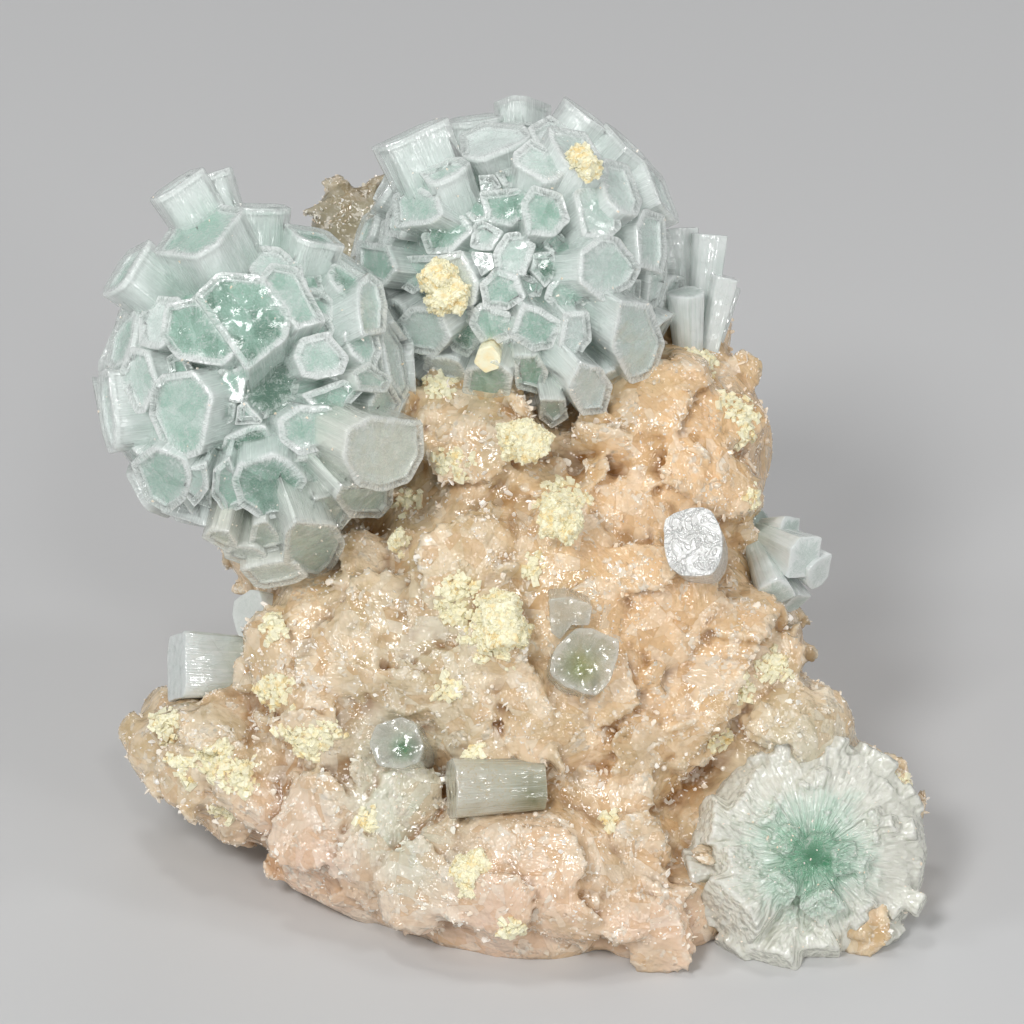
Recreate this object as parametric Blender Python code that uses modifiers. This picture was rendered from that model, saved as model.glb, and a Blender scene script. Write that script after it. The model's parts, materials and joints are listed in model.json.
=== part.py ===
"""An apophyllite cluster: two balls of blocky apophyllite, a fan, a spray and single crystals on a heap of bladed stilbite.

The layout is in millimetres, as the display face is seen: x to the right, y up the face, z towards the viewer.
The face then leans back until the specimen stands on its broken base, with +Z up and the origin on that base.
"""

import math
import random

import bmesh
import bpy
from mathutils import Matrix, Vector
from mathutils.bvhtree import BVHTree

MM = 0.001
FACE_LEAN = math.radians(30)  # the face looks this far above the horizon
EYE = (0.0, 58.5, 800.0)  # where the layout is seen from: x and y of everything below are as seen from here
STAND_BACK = 44.3  # from the front foot to the origin, along the ground
SEAT_GAP = 0.3  # clearance between two pieces that grew together

# Lumps of the stilbite heap: centre x, y, z, then radii along x, y and z.
HEAP_LUMPS = {
    "core": (2, 42, -21, 28, 30, 23),
    "front_foot": (2, 14, -14, 22, 12, 18),
    "front_left_foot": (-17.5, 19.5, -15, 13.5, 11.5, 13),
    "right_foot": (31, 15, -17, 18, 15, 12),
    "right_rim": (41.5, 18, -17, 9.3, 12, 9),
    "right_rim_low": (43, 10.5, -11, 6, 6, 8),
    "front_right_foot": (17, 9, -8, 9, 7, 8),
    "right_top_rim": (34, 31, -14, 8, 7, 9),
    "right_waist": (25, 40, -20, 11.8, 15, 15),
    "right_shoulder": (18, 64, -21, 12.5, 17, 15),
    "right_edge": (24, 67, -23, 8.5, 12, 10),
    "left_wing": (-29, 28, -20, 17, 10.5, 12),
    "left_wing_tip": (-39.8, 29, -22, 8.4, 7.5, 8),
    "left_waist": (-19, 38, -17, 15, 19, 16),
    "left_neck": (-24, 60, -24, 13, 17, 14),
    "left_crest": (-17, 82, -33, 11, 16, 11),
    "left_peak": (-21, 93, -33, 6.5, 7.5, 7),
    "right_crest": (8, 74, -37, 18, 20, 14),
    "right_horn": (21, 80, -27, 6, 9, 7),
    "back_foot": (2, 38, -49, 29, 22, 19),
    "back_waist": (-3, 60, -42, 22, 24, 16),
}
HEAP_VOXEL = 2.5
HEAP_SHARE_KEPT = 0.07
HEAP_ROUGHNESS = 3.2

# Stilbite blades on the display face: x, y, half length, half width, half thickness, turn in degrees, tip towards the viewer.
FACE_BLADES = [
    (-6, 66, 6.5, 4.5, 1.8, 10, 0.3),
    (4, 62, 6.0, 4.0, 1.6, -15, 0.2),
    (-5, 52, 7.5, 6.0, 2.0, 25, 0.4),
    (-9, 46, 6.5, 5.0, 2.0, 60, 0.3),
    (13, 66, 6.5, 4.5, 1.8, 50, 0.3),
    (18, 72, 6.0, 5.5, 1.8, 70, 0.3),
    (15, 58, 6.5, 4.5, 1.8, 5, 0.2),
    (14, 51, 6.5, 3.5, 1.6, 65, 0.3),
    (24, 63, 6.5, 4.5, 1.6, 100, 0.3),
    (20, 45, 7.5, 6.0, 2.0, -30, 0.4),
    (24, 38, 7.0, 6.0, 2.0, 20, 0.4),
    (19, 33, 7.0, 6.0, 2.0, -60, 0.5),
    (11, 37, 5.5, 4.0, 1.6, 40, 0.3),
    (11, 25, 7.5, 6.5, 2.2, 15, 0.6),
    (17, 27, 6.5, 5.5, 1.8, 75, 0.4),
    (-2, 38, 7.5, 5.5, 2.0, -10, 0.3),
    (-7, 35, 6.5, 5.0, 1.8, 35, 0.3),
    (2, 32, 6.0, 3.5, 1.8, -20, 0.3),
    (-2, 29, 6.0, 3.5, 1.8, -25, 0.4),
    (-15, 45, 6.5, 5.5, 2.0, 80, 0.3),
    (-18, 52, 6.0, 4.0, 1.8, 110, 0.2),
    (-14, 35, 6.0, 5.0, 1.8, 140, 0.3),
    (-21, 41, 6.0, 5.5, 1.8, 30, 0.2),
    (-30, 40, 6.5, 4.5, 1.8, 35, 0.2),
    (-24, 30, 6.0, 4.0, 1.8, -35, 0.3),
    (-37, 32, 6.0, 4.5, 1.8, 20, 0.2),
    (-42, 33, 4.5, 3.5, 1.6, 80, 0.1),
    (-33, 23, 7.0, 4.0, 1.8, -30, 0.3),
    (-41, 25, 5.0, 3.5, 1.6, -50, 0.2),
    (-25, 20, 7.5, 5.0, 2.0, -45, 0.4),
    (-18, 14, 6.5, 4.5, 1.8, -60, 0.4),
    (-14, 22, 6.5, 4.5, 1.8, 10, 0.3),
    (-12, 12, 7.0, 5.5, 2.0, 95, 0.4),
    (-3, 10, 6.5, 5.0, 2.0, -15, 0.4),
    (4, 14, 6.5, 5.5, 2.0, 30, 0.5),
    (6, 8, 6.5, 4.5, 1.8, -5, 0.4),
    (14, 10, 6.0, 5.0, 1.8, 70, 0.4),
    (18, 6, 6.5, 4.0, 1.6, 110, 0.4),
    (16, 17, 5.5, 4.0, 1.6, 20, 0.3),
    (28, 45, 6.0, 5.0, 2.2, 70, 0.4),
    (31, 40, 6.0, 4.5, 1.6, 120, 0.2),
    (33, 33, 6.0, 4.5, 1.6, 35, 0.3),
    (38, 31, 6.0, 4.0, 1.6, 125, 0.2),
    (45, 24, 5.5, 4.5, 1.6, 100, 0.2),
    (45, 20, 5.5, 4.5, 1.6, -15, 0.3),
    (43, 8, 5.0, 3.5, 1.6, -30, 0.3),
    (28, 70, 4.5, 3.5, 1.6, 95, 0.1),
    (28, 60, 4.5, 3.0, 1.4, 100, 0.1),
    (22, 77, 5.0, 3.0, 1.4, 95, 0.1),
]
BACK_BLADES = 52
BLADE_SIDES = 6
BLADE_TIP = 0.6  # width of a blade's end against its middle

# Single faces of the left ball's crystals that look at the viewer: corners of the end face, then how far the end stands
# from the ball's centre, and how the long axis leans away from straight out, to the right and up.
CRYSTAL_TAPER = 0.7  # width of a ball's crystal at its inner end against its outer end
LEFT_BALL = {"centre": (-32.0, 74.5, -6.0), "core": 15.0, "reach": 20.0, "seed": 11, "fill": 46}
LEFT_FACES = {
    "gable": ([(-41.5, 96.5), (-44.6, 91.2), (-39.5, 90.5), (-36.6, 92.2), (-33.8, 96.4), (-37.5, 97.2)], 23.6, (-0.20, 0.05)),
    "pair_left": ([(-44.0, 80.6), (-43.3, 84.4), (-39.8, 85.2), (-37.6, 82.8), (-34.6, 78.8), (-36.2, 76.9), (-41.8, 77.8)], 20.8, (0, 0)),
    "big_green": ([(-39.5, 85.5), (-36.6, 88.4), (-31.5, 88.0), (-27.8, 83.2), (-28.3, 80.4), (-33.1, 76.5), (-35.0, 79.4)], 21.6, (0.02, 0.05)),
    "right_pane": ([(-31.2, 88.0), (-30.1, 89.6), (-26.8, 89.0), (-23.4, 82.6), (-26.8, 81.6), (-27.9, 83.5)], 21.4, (0.10, 0.10)),
    "small_hexagon": ([(-27.0, 77.9), (-26.2, 80.2), (-24.0, 80.8), (-23.0, 81.0), (-20.5, 77.8), (-21.1, 76.0), (-24.0, 75.2), (-26.1, 75.6)], 21.6, (0.05, 0)),
    "deep_green": ([(-33.6, 76.0), (-27.8, 77.4), (-26.4, 75.4), (-27.2, 72.6), (-30.8, 70.2), (-33.4, 71.4)], 16.6, (0, 0)),
    "left_pane": ([(-45.2, 73.2), (-44.0, 75.4), (-39.8, 75.8), (-37.5, 72.8), (-39.0, 65.9), (-41.0, 65.4), (-44.0, 67.4), (-45.4, 70.4)], 20.6, (-0.12, -0.05)),
    "middle_pane": ([(-29.0, 70.0), (-26.5, 71.7), (-22.8, 71.6), (-22.0, 70.0), (-23.4, 66.4), (-26.5, 65.6), (-28.8, 67.4)], 20.4, (0, 0)),
    "teal_pane": ([(-26.0, 73.2), (-21.0, 75.0), (-18.6, 73.8), (-21.8, 70.2), (-24.8, 71.8)], 19.4, (0, 0)),
    "big_white": ([(-20.0, 68.6), (-17.0, 70.2), (-11.4, 69.6), (-11.2, 65.6), (-13.0, 62.4), (-16.0, 61.2), (-19.0, 61.8), (-20.6, 65.0)], 24.6, (0.16, -0.08)),
    "dark_wedge": ([(-36.0, 67.6), (-32.6, 69.2), (-31.0, 69.2), (-29.2, 66.2), (-31.4, 65.4), (-36.4, 63.6)], 17.8, (0, 0)),
    "low_pane": ([(-34.8, 62.2), (-33.8, 64.4), (-29.6, 65.5), (-27.6, 64.5), (-25.8, 62.4), (-28.2, 58.3), (-31.2, 57.6), (-34.0, 59.4)], 21.2, (0, -0.08)),
    "low_left_pane": ([(-37.2, 63.6), (-35.2, 65.0), (-34.6, 62.5), (-33.4, 59.2), (-36.0, 58.4), (-37.6, 60.6)], 20.4, (-0.05, -0.05)),
    "lower_left_block": ([(-47.6, 64.4), (-44.6, 66.4), (-40.8, 64.8), (-40.2, 62.4), (-41.0, 60.0), (-43.4, 58.4), (-46.0, 60.0)], 20.8, (-0.1, -0.1)),
    "bright_sliver": ([(-40.3, 63.7), (-38.2, 64.4), (-38.0, 61.2), (-39.8, 59.2), (-40.8, 60.4)], 20.8, (-0.05, -0.1)),
    "under_middle": ([(-26.8, 65.0), (-24.0, 65.6), (-21.4, 62.4), (-22.8, 61.0), (-25.4, 61.0), (-26.6, 62.4)], 19.6, (0, 0)),
    "right_foot_pane": ([(-20.8, 61.6), (-15.0, 61.8), (-15.2, 59.4), (-16.6, 57.8), (-20.2, 57.8), (-21.6, 60.0)], 22.0, (0.1, -0.15)),
    "foot_grain": ([(-24.4, 60.0), (-22.2, 60.4), (-20.2, 57.8), (-21.6, 56.2), (-23.6, 57.2)], 21.2, (0.05, -0.1)),
    "foot_shadow": ([(-28.4, 58.2), (-26.6, 60.2), (-24.6, 60.0), (-23.8, 57.4), (-26.6, 57.0)], 19.0, (0, -0.1)),
    "foot_pane": ([(-27.8, 55.6), (-26.6, 57.0), (-22.0, 56.6), (-21.0, 54.4), (-22.4, 51.8), (-24.6, 50.0), (-27.2, 50.6), (-28.4, 52.2)], 23.6, (0.05, -0.12)),
    "foot_left_pane": ([(-33.0, 54.4), (-32.2, 56.8), (-30.4, 57.2), (-29.2, 55.6), (-28.4, 54.0), (-30.8, 53.4)], 22.0, (0, -0.1)),
    "pink_foot": ([(-38.8, 55.2), (-37.8, 56.2), (-35.4, 56.0), (-34.4, 54.4), (-35.6, 53.4)], 23.0, (-0.1, -0.15)),
    "right_knob": ([(-19.6, 76.0), (-17.8, 77.2), (-15.0, 75.2), (-15.8, 73.5), (-18.8, 73.6)], 20.6, (0.1, 0)),
    "right_blade": ([(-19.0, 87.0), (-17.8, 88.4), (-16.2, 87.2), (-15.6, 84.4), (-15.8, 81.2), (-18.4, 80.6), (-19.0, 83.8)], 21.4, (0.1, 0)),
}
# Crystals seen from the side: middle of the end face x, y and its distance from the centre, the axis, width, depth, twist.
LEFT_SIDES = {
    "top_block": ((-42.2, 99.6, 28.0), (-0.52, 0.82, 0.20), 7.2, 6.4, 20),
    "top_sliver": ((-37.0, 101.0, 27.2), (-0.30, 0.94, 0.0), 4.2, 5.0, 10),
    "left_shoulder": ((-48.6, 89.0, 23.6), (-0.76, 0.60, 0.30), 8.0, 7.0, 30),
    "left_flank": ((-50.8, 71.0, 20.8), (-0.94, -0.10, 0.30), 10.5, 7.5, 5),
    "left_cheek": ((-49.0, 80.0, 19.6), (-0.86, 0.30, 0.40), 7.5, 7.5, 25),
    "olive_top": ((-31.2, 96.8, 23.0), (0.05, 0.97, 0.15), 7.0, 6.0, 15),
    "olive_right": ((-24.6, 93.2, 21.4), (0.30, 0.88, 0.30), 6.5, 6.0, 35),
    "valley": ((-20.4, 87.6, 19.4), (0.50, 0.62, 0.55), 5.5, 6.0, 10),
    "valley_low": ((-18.6, 79.6, 19.6), (0.60, 0.25, 0.72), 6.0, 5.0, 40),
    "pale_foot": ((-29.6, 50.6, 24.5), (0.02, -0.86, 0.46), 7.5, 6.5, 20),
    "pale_foot_left": ((-33.4, 53.0, 22.5), (-0.14, -0.88, 0.36), 5.5, 6.0, 5),
}

TOP_BALL = {"centre": (1.0, 89.0, -17.0), "core": 15.0, "reach": 20.0, "seed": 29, "fill": 46}
TOP_FACES = {
    "left_pane": ([(-15.0, 98.2), (-12.6, 99.6), (-9.4, 98.0), (-8.8, 95.6), (-10.6, 94.4), (-14.6, 94.2)], 21.6, (-0.15, 0.05)),
    "low_bean": ([(-11.4, 93.2), (-8.6, 95.6), (-6.0, 95.4), (-5.0, 93.6), (-7.6, 91.0), (-10.6, 90.8)], 18.8, (0, 0)),
    "left_step": ([(-14.6, 90.6), (-9.6, 90.4), (-8.8, 88.0), (-12.4, 85.8), (-15.4, 87.4)], 18.6, (0, 0)),
    "left_hollow": ([(-19.6, 92.6), (-15.8, 91.8), (-14.6, 88.6), (-16.4, 86.6), (-19.8, 88.4)], 20.6, (0, 0)),
    "front_teal": ([(1.2, 97.2), (2.6, 99.4), (6.2, 98.4), (7.2, 95.0), (5.2, 93.0), (2.0, 93.2)], 21.0, (0.12, 0.08)),
    "green_drop": ([(2.8, 90.8), (5.2, 91.0), (5.6, 88.6), (4.2, 86.6), (2.4, 88.6)], 18.2, (0, 0)),
    "front_right": ([(8.8, 91.0), (11.4, 93.0), (13.4, 92.8), (16.2, 89.2), (15.2, 87.0), (11.4, 84.8), (8.6, 87.2)], 21.8, (0.12, 0.02)),
    "grey_knob": ([(-4.0, 87.0), (-2.2, 88.8), (0.6, 88.0), (1.6, 85.2), (-0.6, 83.8), (-3.6, 84.2)], 20.4, (0, 0)),
    "lower_teal": ([(1.4, 84.4), (4.0, 83.6), (6.2, 82.2), (5.0, 79.0), (2.6, 78.6), (-0.2, 80.4)], 20.6, (0.1, -0.1)),
    "lower_white": ([(6.6, 83.2), (9.6, 83.4), (10.0, 80.0), (8.6, 78.2), (6.0, 79.0)], 21.0, (0.05, -0.1)),
    "right_foot": ([(13.6, 84.4), (17.4, 84.2), (19.2, 79.6), (18.0, 75.8), (15.0, 74.6), (12.6, 78.6)], 22.6, (0.18, -0.1)),
    "white_snout": ([(8.6, 77.0), (11.2, 76.4), (12.6, 74.2), (11.8, 71.0), (8.8, 70.6), (7.0, 73.6)], 23.6, (0.22, -0.12)),
    "left_low_pane": ([(-14.8, 82.0), (-12.8, 84.0), (-9.2, 83.6), (-7.8, 80.0), (-9.6, 78.0), (-13.0, 78.6)], 20.6, (-0.05, -0.05)),
    "low_fin": ([(0.2, 77.8), (3.2, 78.0), (4.6, 75.8), (3.4, 73.2), (0.6, 74.0)], 20.6, (0, -0.05)),
    "low_olive": ([(-5.8, 76.2), (-2.2, 77.2), (0.0, 75.4), (-0.6, 72.0), (-4.4, 71.6), (-6.2, 73.6)], 21.0, (-0.05, -0.1)),
    "low_grey": ([(3.6, 72.4), (6.6, 72.4), (7.0, 70.2), (5.0, 69.0), (3.4, 70.2)], 22.2, (0, -0.15)),
    "green_notch": ([(-8.0, 81.6), (-4.6, 82.8), (-3.8, 80.0), (-5.6, 77.8), (-7.6, 78.8)], 18.0, (0, 0)),
    "upper_green": ([(-4.0, 98.6), (1.4, 99.2), (2.8, 97.2), (0.0, 94.2), (-3.2, 95.0)], 18.4, (0, 0)),
}
TOP_SIDES = {
    "top_left_block": ((-12.8, 106.0, 25.0), (-0.38, 0.90, 0.16), 9.4, 7.0, 20),
    "top_left_step": ((-8.4, 101.4, 22.6), (-0.30, 0.80, 0.50), 6.0, 5.0, 12),
    "crown_left": ((-4.6, 107.8, 19.6), (-0.12, 0.97, 0.18), 7.0, 7.0, 5),
    "crown_right": ((0.4, 106.8, 18.8), (0.02, 0.96, 0.24), 5.5, 6.0, 30),
    "crown_back": ((1.0, 109.4, 21.0), (0.0, 0.95, -0.30), 6.5, 6.0, 45),
    "crest_slab": ((9.6, 108.2, 21.6), (0.58, 0.78, 0.12), 7.6, 7.0, -52),
    "crest_slab_right": ((14.8, 104.4, 21.4), (0.66, 0.70, 0.14), 7.6, 7.0, -48),
    "big_slab": ((8.4, 103.6, 22.0), (0.45, 0.72, 0.50), 9.6, 7.0, -48),
    "right_slab": ((18.8, 98.8, 21.2), (0.88, 0.44, 0.22), 8.0, 7.6, -30),
    "right_slab_front": ((13.6, 99.2, 21.8), (0.62, 0.52, 0.58), 8.6, 6.4, -35),
    "right_column": ((17.6, 92.4, 20.4), (0.82, 0.12, 0.54), 8.0, 7.0, -10),
    "right_low_column": ((20.0, 85.0, 19.8), (0.90, -0.20, 0.36), 6.5, 7.0, 5),
    "left_edge": ((-18.6, 93.4, 20.4), (-0.90, 0.30, 0.30), 6.0, 7.0, 15),
    "front_slab": ((3.6, 102.4, 21.4), (0.16, 0.66, 0.73), 7.0, 5.5, -25),
    "front_slab_low": ((10.8, 96.2, 21.0), (0.46, 0.34, 0.82), 7.5, 6.0, -30),
}

# The fan breaks out of the right foot: heads of its prisms x, y, z, then width, depth and twist.
FAN_ROOT = (37.5, 16.0, -9.0)
FAN_PRISMS = {
    "north_west_high": (28.2, 23.6, -4.8, 7.0, 4.6, 30),
    "north_west": (24.2, 20.0, -4.2, 8.0, 5.0, 55),
    "west": (26.2, 13.8, -1.2, 5.6, 4.8, 5),
    "west_end": (21.6, 13.6, -5.4, 5.2, 4.8, 40),
    "white_drum": (27.0, 8.0, -0.8, 9.4, 9.0, 20),
    "south_west": (27.4, 3.4, -5.0, 5.6, 5.0, 10),
    "south": (32.2, 2.4, -2.2, 7.0, 5.6, 35),
    "south_middle": (37.8, 3.2, -3.4, 6.6, 5.4, 5),
    "green_drop": (38.9, 9.0, 0.2, 4.8, 4.4, 30),
    "middle": (33.2, 11.2, 0.4, 4.6, 4.0, 10),
    "south_east": (43.8, 7.4, -4.4, 6.2, 5.0, 20),
    "east_low": (48.4, 10.4, -7.4, 6.6, 5.2, 40),
    "east": (48.8, 15.4, -7.6, 6.4, 5.4, 10),
    "east_front": (45.0, 13.0, -2.8, 6.0, 4.6, 35),
    "north_east": (45.2, 21.0, -6.4, 6.2, 4.8, 15),
    "north": (35.0, 26.2, -5.6, 5.6, 4.8, 0),
    "north_inner": (31.6, 21.8, -3.0, 5.4, 4.2, 25),
    "north_right": (40.0, 24.4, -6.4, 4.8, 4.0, 30),
}

SPRAY_ROOT = (29.5, 56.5, -19.0)
SPRAY_PRISMS = {
    "main": (36.6, 52.8, -10.0, 5.6, 5.0, 25),
    "tip": (38.4, 50.8, -12.4, 4.6, 4.4, 40),
    "low": (32.8, 48.2, -9.6, 4.8, 4.2, 10),
    "under": (35.4, 47.0, -14.0, 3.8, 3.6, 30),
    "upper": (34.8, 56.0, -14.6, 4.0, 4.0, 0),
}

COLUMN_ROOT = (22.5, 70.0, -22.0)
COLUMN_PRISMS = {
    "tall": (24.6, 93.2, -21.5, 4.6, 5.0, 8),
    "inner": (20.8, 93.8, -23.5, 4.2, 4.8, 20),
    "outer": (26.4, 88.0, -19.5, 3.4, 4.0, 12),
    "front": (21.8, 86.0, -16.0, 4.6, 4.4, 35),
    "spur": (27.2, 86.6, -24.0, 3.0, 3.4, 0),
}

# Single crystals: head x, y, z, the long axis, width, depth, length and twist.
SINGLES = {
    "apophyllite_block_left": [((-42.0, 39.2, -15.0), (-0.90, 0.04, 0.36), 8.6, 7.4, 14.0, 10)],
    "apophyllite_block_clear": [((22.6, 54.6, 3.2), (0.10, 0.10, 0.98), 7.4, 8.4, 9.0, 4)],
    "apophyllite_pair": [
        ((7.0, 46.8, 4.8), (0.10, -0.25, 0.95), 6.2, 7.2, 9.5, 20),
        ((9.0, 39.2, 6.0), (0.05, -0.05, 1.0), 8.0, 8.0, 10.0, 35),
    ],
    "apophyllite_prism_low": [((-7.4, 23.8, 3.4), (-0.93, -0.05, 0.34), 6.8, 6.4, 12.5, 8)],
    "apophyllite_prism_green_eye": [((-15.0, 29.6, 2.4), (-0.30, 0.10, 0.94), 5.4, 6.0, 8.0, 20)],
    "heulandite_knob": [((-33.0, 45.8, -12.0), (-0.70, 0.10, 0.70), 5.6, 5.6, 8.0, 30)],
}

# Cream druses and one cream grain: middle x, y and z, radius, flattening towards the viewer and the seed of its lumps.
DRUSES = {
    "cream_druse_ball_large": ((-8.2, 86.6, 1.0), 3.9, 0.72, 3),
    "cream_druse_ball_small": ((9.2, 102.2, 1.6), 2.5, 0.72, 5),
    "cream_grain": ((-2.2, 77.8, 1.6), 1.8, 0.9, 7),
    "cream_druse_upper": ((1.6, 67.4, 1.8), 3.7, 0.6, 9),
    "cream_druse_middle": ((6.2, 57.8, 4.2), 3.3, 0.6, 13),
    "cream_druse_centre": ((-1.4, 45.0, 5.2), 4.6, 0.55, 15),
    "cream_druse_foot": ((-5.0, 13.2, 2.6), 3.6, 0.7, 17),
}

FINISHES = {
    "stilbite": ((0.78, 0.52, 0.36, 1.0), 0.45),
    "apophyllite": ((0.60, 0.74, 0.67, 1.0), 0.25),
    "apophyllite_white": ((0.78, 0.80, 0.78, 1.0), 0.25),
    "cream": ((0.80, 0.70, 0.46, 1.0), 0.55),
}

FACE_TO_WORLD = (
    Matrix.Translation((0.0, -STAND_BACK * MM, 0.0))
    @ Matrix.Rotation(math.pi / 2 - FACE_LEAN, 4, "X")
    @ Matrix.Scale(MM, 4)
)


def seen_at(x, y, z):
    """The place at depth z that is seen at x, y, which farther back lies farther out."""
    spread = 1 - z / EYE[2]
    return Vector((EYE[0] + (x - EYE[0]) * spread, EYE[1] + (y - EYE[1]) * spread, z))


def clear_scene():
    for obj in list(bpy.data.objects):
        bpy.data.objects.remove(obj, do_unlink=True)


def make_collection(name, is_helper=False):
    collection = bpy.data.collections.new(name)
    bpy.context.scene.collection.children.link(collection)
    collection.hide_render = is_helper
    return collection


def make_material(name):
    colour, roughness = FINISHES[name]
    material = bpy.data.materials.new(name)
    material.use_nodes = True
    shader = material.node_tree.nodes["Principled BSDF"]
    shader.inputs["Base Color"].default_value = colour
    shader.inputs["Roughness"].default_value = roughness
    shader.inputs["Metallic"].default_value = 0.0
    return material


def face_outwards(bm):
    bmesh.ops.recalc_face_normals(bm, faces=bm.faces)
    if bm.calc_volume(signed=True) < 0:
        bmesh.ops.reverse_faces(bm, faces=bm.faces)


def object_from(bm, name, collection):
    """The bmesh as a new object, in metres and in the standing frame."""
    face_outwards(bm)
    bm.transform(FACE_TO_WORLD)
    mesh = bpy.data.meshes.new(name)
    bm.to_mesh(mesh)
    bm.free()
    obj = bpy.data.objects.new(name, mesh)
    collection.objects.link(obj)
    return obj


def evaluated_copy(obj, name, collection):
    """The object with its modifiers made real, which replaces it."""
    bpy.context.view_layer.update()
    graph = bpy.context.evaluated_depsgraph_get()
    mesh = bpy.data.meshes.new_from_object(obj.evaluated_get(graph))
    bpy.data.objects.remove(obj, do_unlink=True)
    result = bpy.data.objects.new(name, mesh)
    collection.objects.link(result)
    return result


def drop_islands(obj):
    """Leaves only the largest connected body of a mesh, and removes the chips that a cut leaves."""
    bm = bmesh.new()
    bm.from_mesh(obj.data)
    unseen = set(bm.verts)
    islands = []
    while unseen:
        stack = [unseen.pop()]
        island = set(stack)
        while stack:
            for edge in stack.pop().link_edges:
                for vert in edge.verts:
                    if vert in unseen:
                        unseen.discard(vert)
                        island.add(vert)
                        stack.append(vert)
        islands.append(island)
    largest = max(islands, key=len)
    bmesh.ops.delete(bm, geom=[v for v in bm.verts if v not in largest], context="VERTS")
    bm.to_mesh(obj.data)
    bm.free()


def combine(obj, others, operation):
    """Joins or cuts the object with every other in turn, by exact Booleans, and removes the others."""
    helpers = bpy.data.collections.new("boolean_operands")
    for other in others:
        helpers.objects.link(other)
    modifier = obj.modifiers.new(operation.lower(), "BOOLEAN")
    modifier.operation = operation
    modifier.solver = "EXACT"
    modifier.operand_type = "COLLECTION"
    modifier.collection = helpers
    collection = obj.users_collection[0]
    name = obj.name
    result = evaluated_copy(obj, name, collection)
    for other in others:
        bpy.data.objects.remove(other, do_unlink=True)
    bpy.data.collections.remove(helpers)
    result.name = name
    drop_islands(result)
    return result


def axis_frame(axis, twist):
    """A rotation whose z runs along the axis, turned about it by the twist in degrees."""
    turn = Vector(axis).normalized().to_track_quat("Z", "Y").to_matrix().to_4x4()
    return turn @ Matrix.Rotation(math.radians(twist), 4, "Z")


def block_outline(width, depth, rng, corner=0.24):
    """A square with most of its corners cut, each a little differently."""
    points = []
    for i, (sx, sy) in enumerate(((1, 1), (-1, 1), (-1, -1), (1, -1))):
        cut_x = width * corner * rng.uniform(0.6, 1.5)
        cut_y = depth * corner * rng.uniform(0.6, 1.5)
        if i % 2 and rng.random() < 0.55:
            points.append((sx * width / 2.1, sy * depth / 2.1))
            continue
        ends = [(sx * (width / 2 - cut_x), sy * depth / 2), (sx * width / 2, sy * (depth / 2 - cut_y))]
        points += ends[::-1] if sx * sy > 0 else ends
    return points


def prism(outline, length, taper, chamfer, placed):
    """A crystal whose end face is the outline at z 0, running back along -z and narrowing to the taper."""
    bm = bmesh.new()
    face = bm.faces.new([bm.verts.new((x, y, -length)) for x, y in outline])
    end = bmesh.ops.extrude_face_region(bm, geom=[face])["geom"]
    tip = [v for v in end if isinstance(v, bmesh.types.BMVert)]
    bmesh.ops.translate(bm, verts=tip, vec=(0, 0, length))
    middle = sum((v.co for v in tip), Vector()) / len(tip)
    for vert in bm.verts:
        if vert.co.z < -length / 2:
            vert.co.xy = middle.xy + (vert.co.xy - middle.xy) * taper
    rim = [e for e in bm.edges if all(v in tip for v in e.verts)]
    if chamfer:
        bmesh.ops.bevel(bm, geom=rim, offset=chamfer, segments=1, affect="EDGES")
    bm.transform(placed)
    return bm


def on_ball(ball, x, y, reach, least, way=1):
    """The place on a ball's surface, this far from its centre, that is seen at x, y."""
    centre = seen_at(*ball["centre"])
    z = centre.z
    for _ in range(3):
        spot = seen_at(x, y, z)
        z = centre.z + way * math.sqrt(max(reach**2 - (spot.xy - centre.xy).length_squared, least**2))
    return seen_at(x, y, z)


def head_of(ball, corners, reach):
    """The middle of an end face whose corners are seen."""
    x, y = (sum(values) / len(corners) for values in zip(*corners))
    return on_ball(ball, x, y, reach, 3.0)


def faced_crystal(ball, corners, reach, lean, name, collection):
    """A crystal of a ball, from the corners that its end face shows to the viewer."""
    head = head_of(ball, corners, reach)
    axis = ((head - seen_at(*ball["centre"])).normalized() + Vector((lean[0], lean[1], 0))).normalized()
    placed = Matrix.Translation(head) @ axis_frame(axis, 0)
    inverse = placed.inverted()
    outline = []
    for x, y in corners:
        x, y, _ = seen_at(x, y, head.z)
        z = head.z - ((x - head.x) * axis.x + (y - head.y) * axis.y) / axis.z
        outline.append((inverse @ Vector((x, y, z))).xy)
    depth = min(reach - 4.0, 16.0)
    return object_from(prism(outline, depth, CRYSTAL_TAPER, 0, placed), name, collection)


def sided_crystal(ball, spot, axis, width, depth, twist, name, collection, rng):
    """A crystal of a ball seen from its side, given by the middle of its end face."""
    head = on_ball(ball, *spot, 0.0, math.copysign(1, axis[2]))
    placed = Matrix.Translation(head) @ axis_frame(axis, twist)
    outline = block_outline(width, depth, rng)
    return object_from(prism(outline, 14.0, CRYSTAL_TAPER, 0, placed), name, collection)


def fill_directions(count):
    """Directions spread evenly over a sphere along a golden spiral."""
    golden = math.pi * (3 - math.sqrt(5))
    for i in range(count):
        z = 1 - 2 * (i + 0.5) / count
        ring = math.sqrt(1 - z * z)
        yield Vector((ring * math.cos(golden * i), ring * math.sin(golden * i), z))


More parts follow.
